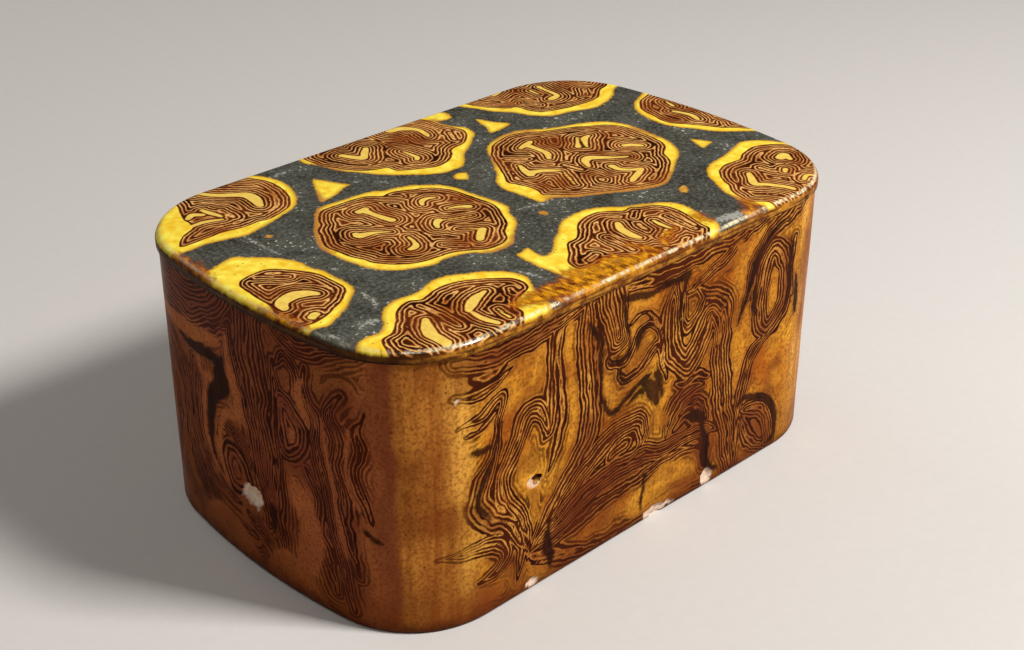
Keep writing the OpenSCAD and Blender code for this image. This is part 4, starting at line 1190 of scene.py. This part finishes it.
    # Painted shade: darker towards the bottom, and darkest at the foot
    shade_height = add(tree, MATH, {0: pools, 1: 30.0, 2: height}, operation="MULTIPLY_ADD")
    low = add(tree, RANGE, {VALUE: shade_height, FROM_LOW: 16.0, FROM_HIGH: 38.0, TO_LOW: 0.7, TO_HIGH: 0.0})
    dimmed = add(tree, MIX, {FACTOR: low, COLOUR_A: base, COLOUR_B: hue("#743812")}, data_type="RGBA")
    foot_shade_height = add(tree, MATH, {0: uneven, 1: 5.0, 2: height}, operation="MULTIPLY_ADD")
    foot = add(tree, RANGE, {VALUE: foot_shade_height, FROM_LOW: 3.0, FROM_HIGH: 6.5, TO_LOW: 0.75, TO_HIGH: 0.0})
    shaded = add(tree, MIX, {FACTOR: foot, COLOUR_A: dimmed, COLOUR_B: hue("#44190a")}, data_type="RGBA")
    pricks = add(tree, "ShaderNodeTexVoronoi", {"Vector": place, "Scale": 1 / 2.4})
    holes = add(tree, RANGE, {VALUE: pricks, FROM_LOW: 0.08, FROM_HIGH: 0.16, TO_LOW: 0.75, TO_HIGH: 0.0})
    strewn = add(tree, RANGE, {VALUE: uneven, FROM_LOW: 0.48, FROM_HIGH: 0.62})
    pitted = add(tree, MATH, {0: holes, 1: strewn}, operation="MULTIPLY")
    pricked = add(tree, MIX, {FACTOR: pitted, COLOUR_A: shaded, COLOUR_B: hue("#4a200a")}, data_type="RGBA")

    # The layers and the dark patches over that clay, and bare clay where the glaze is chipped
    brown = add(tree, MIX, {FACTOR: chance, COLOUR_A: hue("#1c0702"), COLOUR_B: hue("#4c1c08")},
                data_type="RGBA")
    striped = add(tree, MIX, {FACTOR: layered, COLOUR_A: pricked, COLOUR_B: brown}, data_type="RGBA")
    sooty = add(tree, MIX, {FACTOR: streaked, COLOUR_A: hue("#120402"), COLOUR_B: hue("#3c1a0a")},
                data_type="RGBA")
    clay = add(tree, MIX, {FACTOR: patch, COLOUR_A: striped, COLOUR_B: sooty}, data_type="RGBA")
    chalk = add(tree, MIX, {FACTOR: shake, COLOUR_A: hue("#c79a74"), COLOUR_B: hue("#f0e2d2")},
                data_type="RGBA")
    colour = add(tree, MIX, {FACTOR: bare, COLOUR_A: clay, COLOUR_B: chalk}, data_type="RGBA")
    tree.links.new(colour.outputs[2], shader.inputs["Base Color"])
    worn = add(tree, RANGE, {VALUE: pools, FROM_LOW: 0.3, FROM_HIGH: 0.7, TO_LOW: 0.28, TO_HIGH: 0.46})
    rough = add(tree, MIX, {FACTOR: bare, NUMBER_A: worn, NUMBER_B: 0.9})
    tree.links.new(rough.outputs[0], shader.inputs["Roughness"])
    relief(tree, shader, grit, 0.1, 0.5)
    shader.inputs["Specular IOR Level"].default_value = 0.02
    return material


def charcoal_clay(tree, place, pale):
    """Charcoal stained clay: mottled, specked with pale grit, rubbed and worn pale in places."""
    # The grain is coarser than the real one, so that it shows
    clouds = add(tree, NOISE, {"Vector": place, "Scale": 1 / 9, "Detail": 6.0, "Roughness": 0.6})
    grain = add(tree, NOISE, {"Vector": place, "Scale": 1 / 0.8, "Detail": 4.0})
    cloudy = add(tree, RANGE, {VALUE: clouds, FROM_LOW: 0.3, FROM_HIGH: 0.7})
    grey = add(tree, MIX, {FACTOR: cloudy, COLOUR_A: hue("#28251a"), COLOUR_B: hue("#504f44")},
               data_type="RGBA")
    grains = add(tree, RANGE, {VALUE: grain, FROM_LOW: 0.42, FROM_HIGH: 0.74, TO_HIGH: 0.5})
    grained = add(tree, MIX, {FACTOR: grains, COLOUR_A: grey, COLOUR_B: hue("#7c7b74")}, data_type="RGBA")
    dust = add(tree, NOISE, {"Vector": place, "Scale": 1.0, "Detail": 2.0})
    least = add(tree, RANGE, {VALUE: clouds, FROM_LOW: 0.42, FROM_HIGH: 0.62, TO_LOW: 0.74, TO_HIGH: 0.61})
    most = add(tree, MATH, {0: least, 1: 0.05}, operation="ADD")
    white = add(tree, RANGE, {VALUE: dust, FROM_LOW: least, FROM_HIGH: most, TO_HIGH: 0.85})
    specked = add(tree, MIX, {FACTOR: white, COLOUR_A: grained, COLOUR_B: hue("#bdbaad")}, data_type="RGBA")
    chafed = add(tree, MATH, {0: grain, 1: 5.0, 2: pale}, operation="MULTIPLY_ADD")
    rubbed = add(tree, RANGE, {VALUE: chafed, FROM_LOW: 1.7, FROM_HIGH: 2.6, TO_LOW: 0.7, TO_HIGH: 0.0})
    return add(tree, MIX, {FACTOR: rubbed, COLOUR_A: specked, COLOUR_B: hue("#b5b2a4")}, data_type="RGBA")


def yellow_clay(tree, place, dull, outer):
    """Bright yellow clay, ochre at its border, tan where the glaze has turned dull, with brown pits."""
    blots = add(tree, NOISE, {"Vector": place, "Scale": 1 / 2.4, "Detail": 3.0})
    bright = add(tree, RANGE, {VALUE: blots, FROM_LOW: 0.3, FROM_HIGH: 0.7})
    yellow = add(tree, MIX, {FACTOR: bright, COLOUR_A: hue("#f0ba22"), COLOUR_B: hue("#ffee5a")},
                 data_type="RGBA")
    frayed = add(tree, MATH, {0: blots, 1: 1.6, 2: outer}, operation="MULTIPLY_ADD")
    border = add(tree, RANGE, {VALUE: frayed, FROM_LOW: -0.3, FROM_HIGH: 1.0, TO_HIGH: 0.9})
    ochre = add(tree, MIX, {FACTOR: border, COLOUR_A: yellow, COLOUR_B: hue("#b8700f")}, data_type="RGBA")
    spread = add(tree, MATH, {0: blots, 1: 2.0, 2: dull}, operation="MULTIPLY_ADD")
    turned = add(tree, RANGE, {VALUE: spread, FROM_LOW: 0.2, FROM_HIGH: 2.2, TO_LOW: 0.9, TO_HIGH: 0.0})
    tan = add(tree, MIX, {FACTOR: turned, COLOUR_A: ochre, COLOUR_B: hue("#b47434")}, data_type="RGBA")
    pits = add(tree, "ShaderNodeTexVoronoi", {"Vector": place, "Scale": 1 / 2.2})
    holes = add(tree, RANGE, {VALUE: pits, FROM_LOW: 0.06, FROM_HIGH: 0.14, TO_LOW: 0.7, TO_HIGH: 0.0})
    return add(tree, MIX, {FACTOR: holes, COLOUR_A: tan, COLOUR_B: hue("#7a4a14")}, data_type="RGBA")


def slice_clay(tree, place, layers, eye):
    """Crowded pale and dark layers of a sliced rod, clear or run together, with yellow eyes."""
    swell = add(tree, NOISE, {"Vector": place, "Scale": 1 / 4, "Detail": 2.0})
    shake = add(tree, NOISE, {"Vector": place, "Scale": 1 / 1.1, "Detail": 2.0})
    clouds = add(tree, NOISE, {"Vector": place, "Scale": 1 / 8, "Detail": 2.0})
    swayed = add(tree, MATH, {0: swell, 1: 1.2, 2: layers}, operation="MULTIPLY_ADD")
    shaken = add(tree, MATH, {0: shake, 1: 0.4, 2: swayed}, operation="MULTIPLY_ADD")
    depth = add(tree, MATH, {0: shaken, 1: 0.8}, operation="SUBTRACT")
    number = add(tree, MATH, {0: depth}, operation="FLOOR")
    own = add(tree, MATH, {0: number, 1: 5.3}, operation="MULTIPLY")
    lot = add(tree, NOISE, {"Vector": place, "W": own, "Scale": 1 / 12, "Detail": 0.0},
              noise_dimensions="4D")
    chance = add(tree, RANGE, {VALUE: lot, FROM_LOW: 0.3, FROM_HIGH: 0.7})
    across = add(tree, MATH, {0: depth}, operation="FRACT")
    clear = add(tree, RANGE, {VALUE: clouds, FROM_LOW: 0.32, FROM_HIGH: 0.56})
    to_dark = add(tree, MATH, {0: across, 1: 0.36}, operation="SUBTRACT")
    from_dark = add(tree, MATH, {0: to_dark}, operation="ABSOLUTE")
    dark_wide = add(tree, RANGE, {VALUE: chance, TO_LOW: 0.15, TO_HIGH: 0.28})
    dark_gap = add(tree, MATH, {0: from_dark, 1: dark_wide}, operation="SUBTRACT")
    dark = add(tree, RANGE, {VALUE: dark_gap, FROM_LOW: -0.08, FROM_HIGH: 0.08, TO_LOW: 1.0, TO_HIGH: 0.0})
    to_light = add(tree, MATH, {0: across, 1: 0.8}, operation="SUBTRACT")
    from_light = add(tree, MATH, {0: to_light}, operation="ABSOLUTE")
    light_wide = add(tree, RANGE, {VALUE: shake, FROM_LOW: 0.3, FROM_HIGH: 0.7, TO_LOW: 0.06, TO_HIGH: 0.2})
    light_gap = add(tree, MATH, {0: from_light, 1: light_wide}, operation="SUBTRACT")
    light = add(tree, RANGE, {VALUE: light_gap, FROM_LOW: -0.08, FROM_HIGH: 0.08, TO_LOW: 1.0, TO_HIGH: 0.0})
    middle = add(tree, MIX, {FACTOR: clear, COLOUR_A: hue("#743714"), COLOUR_B: hue("#8c4b1e")},
                 data_type="RGBA")
    pale = add(tree, MIX, {FACTOR: clear, COLOUR_A: hue("#b2682a"), COLOUR_B: hue("#ecb266")},
               data_type="RGBA")
    deep = add(tree, MIX, {FACTOR: chance, COLOUR_A: hue("#582408"), COLOUR_B: hue("#240a00")},
               data_type="RGBA")
    lit = add(tree, MIX, {FACTOR: light, COLOUR_A: middle, COLOUR_B: pale}, data_type="RGBA")
    clay = add(tree, MIX, {FACTOR: dark, COLOUR_A: lit, COLOUR_B: deep}, data_type="RGBA")
    yellow = add(tree, MIX, {FACTOR: shake, COLOUR_A: hue("#d8a03e"), COLOUR_B: hue("#fae06c")},
                 data_type="RGBA")
    ragged = add(tree, MATH, {0: shake, 1: 0.4, 2: eye}, operation="MULTIPLY_ADD")
    filled = add(tree, RANGE, {VALUE: ragged, FROM_LOW: 0.1, FROM_HIGH: 0.3, TO_LOW: 1.0, TO_HIGH: 0.0})
    return add(tree, MIX, {FACTOR: filled, COLOUR_A: clay, COLOUR_B: yellow}, data_type="RGBA")


def inlaid_clays():
    """Marbled slices and yellow rims in charcoal clay, ground flat under a thin worn glaze.

    It gives the eye three clays with hand-cut borders, amber glaze over the edge with painted shade away
    from the front, and a worn rim with painted highlight.
    """
    material, tree, shader, place = finish_of("inlaid_clays_under_worn_glaze")
    outer, inner, layers, eye = read_fields(tree, "outer", "inner", "layers", "eye")
    stain, dull, pale = read_fields(tree, "stain", "dull", "pale")
    _, depth_y, height = add(tree, "ShaderNodeSeparateXYZ", {0: place}).outputs
    blot = add(tree, NOISE, {"Vector": place, "Scale": 1 / 2.5, "Detail": 6.0, "Roughness": 0.7})
    grit = add(tree, NOISE, {"Vector": place, "Scale": 1 / 0.7, "Detail": 4.0})
    ground = charcoal_clay(tree, place, pale)
    yellow = yellow_clay(tree, place, dull, outer)
    marble = slice_clay(tree, place, layers, eye)
    cut = add(tree, MATH, {0: grit, 1: 1.4, 2: outer}, operation="MULTIPLY_ADD")
    rimmed = add(tree, RANGE, {VALUE: cut, FROM_LOW: 0.5, FROM_HIGH: 0.95, TO_LOW: 1.0, TO_HIGH: 0.0})
    filled = add(tree, RANGE, {VALUE: inner, FROM_LOW: -0.1, FROM_HIGH: 0.1, TO_LOW: 1.0, TO_HIGH: 0.0})
    set_rim = add(tree, MIX, {FACTOR: rimmed, COLOUR_A: ground, COLOUR_B: yellow}, data_type="RGBA")
    inlaid = add(tree, MIX, {FACTOR: filled, COLOUR_A: set_rim, COLOUR_B: marble}, data_type="RGBA")

    # Amber glaze that has run onto the top, in gold and burnt streaks
    drips = add(tree, "ShaderNodeMapping", {"Vector": place, "Scale": (1 / 1.2, 1 / 2.4, 1 / 2.4)})
    fibre = add(tree, NOISE, {"Vector": drips, "Scale": 1.0, "Detail": 5.0, "Roughness": 0.65})
    spread = add(tree, MATH, {0: fibre, 1: 7.0, 2: stain}, operation="MULTIPLY_ADD")
    fringe = add(tree, RANGE, {VALUE: spread, FROM_LOW: 3.4, FROM_HIGH: 5.2, TO_LOW: 0.8, TO_HIGH: 0.0})
    burnt = add(tree, MIX, {FACTOR: fringe, COLOUR_A: inlaid, COLOUR_B: hue("#94400a")}, data_type="RGBA")
    stained = add(tree, RANGE, {VALUE: spread, FROM_LOW: 1.8, FROM_HIGH: 4.0, TO_LOW: 0.95, TO_HIGH: 0.0})
    gilt = add(tree, RANGE, {VALUE: blot, FROM_LOW: 0.38, FROM_HIGH: 0.6})
    drip = add(tree, RANGE, {VALUE: fibre, FROM_LOW: 0.36, FROM_HIGH: 0.6})
    gold = add(tree, MIX, {FACTOR: drip, COLOUR_A: hue("#f0a41c"), COLOUR_B: hue("#5e2206")},
               data_type="RGBA")
    amber_top = add(tree, MIX, {FACTOR: stained, COLOUR_A: burnt, COLOUR_B: gold}, data_type="RGBA")

    # Glaze over the edge, by the height above the table: amber at the front, and made dark elsewhere by
    # painted shade
    lifted = add(tree, MATH, {0: blot, 1: 1.2, 2: height}, operation="MULTIPLY_ADD")
    over = add(tree, RANGE, {VALUE: lifted, FROM_LOW: 68.1, FROM_HIGH: 68.8, TO_LOW: 1.0, TO_HIGH: 0.0})
    amber = add(tree, MIX, {FACTOR: gilt, COLOUR_A: hue("#6a380e"), COLOUR_B: hue("#c08026")},
                data_type="RGBA")
    bands = add(tree, "ShaderNodeMapping", {"Vector": place, "Scale": (1 / 8, 1 / 8, 1 / 0.6)})
    smear = add(tree, NOISE, {"Vector": bands, "Scale": 1.0, "Detail": 3.0})
    smeared = add(tree, RANGE, {VALUE: smear, FROM_LOW: 0.46, FROM_HIGH: 0.58, TO_HIGH: 0.8})
    banded = add(tree, MIX, {FACTOR: smeared, COLOUR_A: amber, COLOUR_B: hue("#481f08")}, data_type="RGBA")
    # Painted shade: the lip turns dark away from the front
    turned = add(tree, RANGE, {VALUE: depth_y, FROM_LOW: -47.0, FROM_HIGH: -42.0, TO_HIGH: 0.85})
    lip = add(tree, MIX, {FACTOR: turned, COLOUR_A: banded, COLOUR_B: hue("#361608")}, data_type="RGBA")
    edged = add(tree, MIX, {FACTOR: over, COLOUR_A: amber_top, COLOUR_B: lip}, data_type="RGBA")

    # Pale flecks and shine on the roll of the edge, most at the front, partly wear and partly painted
    # highlight, and a painted shadow line under it
    rise = add(tree, RANGE, {VALUE: height, FROM_LOW: 68.1, FROM_HIGH: 68.4})
    fall = add(tree, RANGE, {VALUE: height, FROM_LOW: 68.7, FROM_HIGH: 68.85, TO_LOW: 1.0, TO_HIGH: 0.0})
    rolled = add(tree, MATH, {0: rise, 1: fall}, operation="MULTIPLY")
    grouped = add(tree, RANGE, {VALUE: blot, FROM_LOW: 0.4, FROM_HIGH: 0.54})
    broken = add(tree, RANGE, {VALUE: fibre, FROM_LOW: 0.4, FROM_HIGH: 0.56, TO_LOW: 0.15})
    flecks = add(tree, MATH, {0: grouped, 1: broken}, operation="MULTIPLY")
    front = add(tree, RANGE, {VALUE: depth_y, FROM_LOW: -47.0, FROM_HIGH: -30.0, TO_LOW: 0.9, TO_HIGH: 0.25})
    # Painted highlight mixed with wear: pale flecks on the roll, mostly at the front
    worn_highlight = add(tree, MATH, {0: rolled, 1: flecks}, operation="MULTIPLY")
    rubbed = add(tree, MATH, {0: worn_highlight, 1: front}, operation="MULTIPLY")
    bright = add(tree, MIX, {FACTOR: rubbed, COLOUR_A: edged, COLOUR_B: hue("#f0dfb4")}, data_type="RGBA")
    # Painted shadow line under the edge, weaker at the front
    under = add(tree, RANGE, {VALUE: lifted, FROM_LOW: 66.7, FROM_HIGH: 67.3, TO_LOW: 0.9, TO_HIGH: 0.0})
    hidden = add(tree, RANGE, {VALUE: depth_y, FROM_LOW: -47.0, FROM_HIGH: -36.0, TO_LOW: 0.3, TO_HIGH: 1.0})
    seam_shadow = add(tree, MATH, {0: under, 1: hidden}, operation="MULTIPLY")
    colour = add(tree, MIX, {FACTOR: seam_shadow, COLOUR_A: bright, COLOUR_B: hue("#220d05")}, data_type="RGBA")
    tree.links.new(colour.outputs[2], shader.inputs["Base Color"])
    shine = add(tree, MATH, {0: rolled, 1: front}, operation="MULTIPLY")
    tree.links.new(shine.outputs[0], shader.inputs["Coat Weight"])
    shader.inputs["Coat Roughness"].default_value = 0.12
    worn = add(tree, RANGE, {VALUE: grit, FROM_LOW: 0.3, FROM_HIGH: 0.7, TO_LOW: 0.26, TO_HIGH: 0.46})
    tree.links.new(worn.outputs[0], shader.inputs["Roughness"])
    relief(tree, shader, grit, 0.08, 0.5)
    shader.inputs["Specular IOR Level"].default_value = 0.06
    return material


def buff_clay():
    """Unglazed buff stoneware: dry, pale and gritty, with scorched spots from the kiln."""
    material, tree, shader, place = finish_of("unglazed_buff_stoneware")
    clouds = add(tree, NOISE, {"Vector": place, "Scale": 1 / 15, "Detail": 4.0})
    grain = add(tree, NOISE, {"Vector": place, "Scale": 1 / 0.8, "Detail": 4.0})
    cloudy = add(tree, RANGE, {VALUE: clouds, FROM_LOW: 0.3, FROM_HIGH: 0.7})
    buff = add(tree, MIX, {FACTOR: cloudy, COLOUR_A: hue("#b48a62"), COLOUR_B: hue("#dcc3a4")},
               data_type="RGBA")
    grits = add(tree, RANGE, {VALUE: grain, FROM_LOW: 0.56, FROM_HIGH: 0.7, TO_HIGH: 0.5})
    colour = add(tree, MIX, {FACTOR: grits, COLOUR_A: buff, COLOUR_B: hue("#8a6242")}, data_type="RGBA")
    tree.links.new(colour.outputs[2], shader.inputs["Base Color"])
    shader.inputs["Roughness"].default_value = 0.9
    relief(tree, shader, grain, 0.2, 0.6)
    return material


# The dressed object

SIDE_GLAZE = marbled_glaze()
TOP_CLAYS = inlaid_clays()
BOX_CLAY = buff_clay()

SHEETS = {
    "front": (-SIDE_REACH, SIDE_REACH),
    "right": (RIGHT_MIDDLE - END_REACH, RIGHT_MIDDLE + END_REACH),
    "back": (BACK_MIDDLE - SIDE_REACH, BACK_MIDDLE + SIDE_REACH),
    "left": (LEFT_MIDDLE - END_REACH, LEFT_MIDDLE + END_REACH),
}
for side, (low, high) in SHEETS.items():
    sheet = side_piece(side + "_face", low, high)
    if side == "front":
        bore_vent(sheet)
    marble_side(sheet)
    smooth(sheet, 40)
    seat(sheet, SIDE_GLAZE, "marbled_sheet", side + "_sheet")

for corner, (low, high) in STRIPS.items():
    strip = side_piece(corner + "_corner", low, high)
    marble_side(strip)
    smooth(strip, 40)
    seat(strip, SIDE_GLAZE, "amber_strip", corner + "_strip")

TOP_NAMES = {"top_ground": "grey_sheet", "filler_chips": "yellow_chips"}
TOP_NAMES.update({"core_" + place: "slice_" + place for place in ROUNDELS})
TOP_NAMES.update({"rim_" + place: "ring_" + place for place in ROUNDELS})
TOP_SLOTS = {"top": "grey_ground", "filler": "yellow_clay", "core": "marbled_core", "rim": "yellow_clay"}
for node, piece in top_pieces(TOP_NAMES).items():
    seat(piece, TOP_CLAYS, TOP_SLOTS[node.split("_")[0]], node)

for node in ("base_slab", "lid_slab", "front_wall", "back_wall", "left_wall", "right_wall"):
    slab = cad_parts[node].data
    slab.materials.clear()
    slab.materials.append(BOX_CLAY)


# Camera, floor and light

# The photograph's view: angles in degrees, lengths in millimetres, and the frame that it was taken to
VIEW_TURN = -44.07
VIEW_RISE = 28.41
VIEW_ROLL = 0.16
VIEW_AWAY = 401.67
VIEW_AT = (0.72, -3.58, 35.0)
FRAME_W = 1024
VIEW_PIXELS = 1673.16
SENSOR = 36


def look(thing, target):
    """Turns a lamp or a camera towards a point."""
    thing.rotation_euler = (Vector(target) - thing.location).to_track_quat("-Z", "Y").to_euler()


turn, rise = math.radians(VIEW_TURN), math.radians(VIEW_RISE)
away = Vector((math.sin(turn) * math.cos(rise), -math.cos(turn) * math.cos(rise), math.sin(rise)))
lens = bpy.data.cameras.new("camera")
camera = bpy.data.objects.new("camera", lens)
bpy.context.scene.collection.objects.link(camera)
camera.location = (Vector(VIEW_AT) + away * VIEW_AWAY) * MM
look(camera, Vector(VIEW_AT) * MM)
camera.rotation_euler.rotate_axis("Z", math.radians(VIEW_ROLL))
lens.sensor_width = SENSOR
lens.lens = VIEW_PIXELS * SENSOR / FRAME_W
lens.clip_start = 0.01
bpy.context.scene.camera = camera

# Matt studio paper, pale and faintly fibrous
start()
bpy.ops.mesh.primitive_plane_add(size=6, location=(0, 0, 0))
floor = bpy.context.object
floor.name = "floor"
paper, tree, shader, place = finish_of("matt_studio_paper")
fibre = add(tree, NOISE, {"Vector": place, "Scale": 1 / 3, "Detail": 4.0})
tint = add(tree, MIX, {FACTOR: fibre, COLOUR_A: hue("#d2ccc5"), COLOUR_B: hue("#d8d2cb")}, data_type="RGBA")
tree.links.new(tint.outputs[2], shader.inputs["Base Color"])
shader.inputs["Roughness"].default_value = 0.9
floor.data.materials.append(paper)

# Soft boxes: name, place and aim in metres, size in metres, power in watts
LAMPS = [
    ("key", (0.32, -0.6, 0.72), (0, 0, 0.04), 0.2, 11.0),
    ("front", (-0.42, -0.44, 0.9), (0, 0, 0.06), 0.14, 1.2),
    ("rim", (-0.1, 0.8, 0.6), (0, 0, 0.05), 0.5, 1.6),
]
for name, spot, aim, size, power in LAMPS:
    lamp = bpy.data.lights.new(name, "AREA")
    lamp.size = size
    lamp.energy = power
    box = bpy.data.objects.new(name, lamp)
    bpy.context.scene.collection.objects.link(box)
    box.location = spot
    look(box, aim)

world = bpy.data.worlds.new("studio")
world.use_nodes = True
bpy.context.scene.world = world
world.node_tree.nodes["Background"].inputs["Color"].default_value = hue("#e4e0dc")
world.node_tree.nodes["Background"].inputs["Strength"].default_value = 0.12
bpy.context.scene.view_settings.view_transform = "Standard"

bpy.context.view_layer.update()
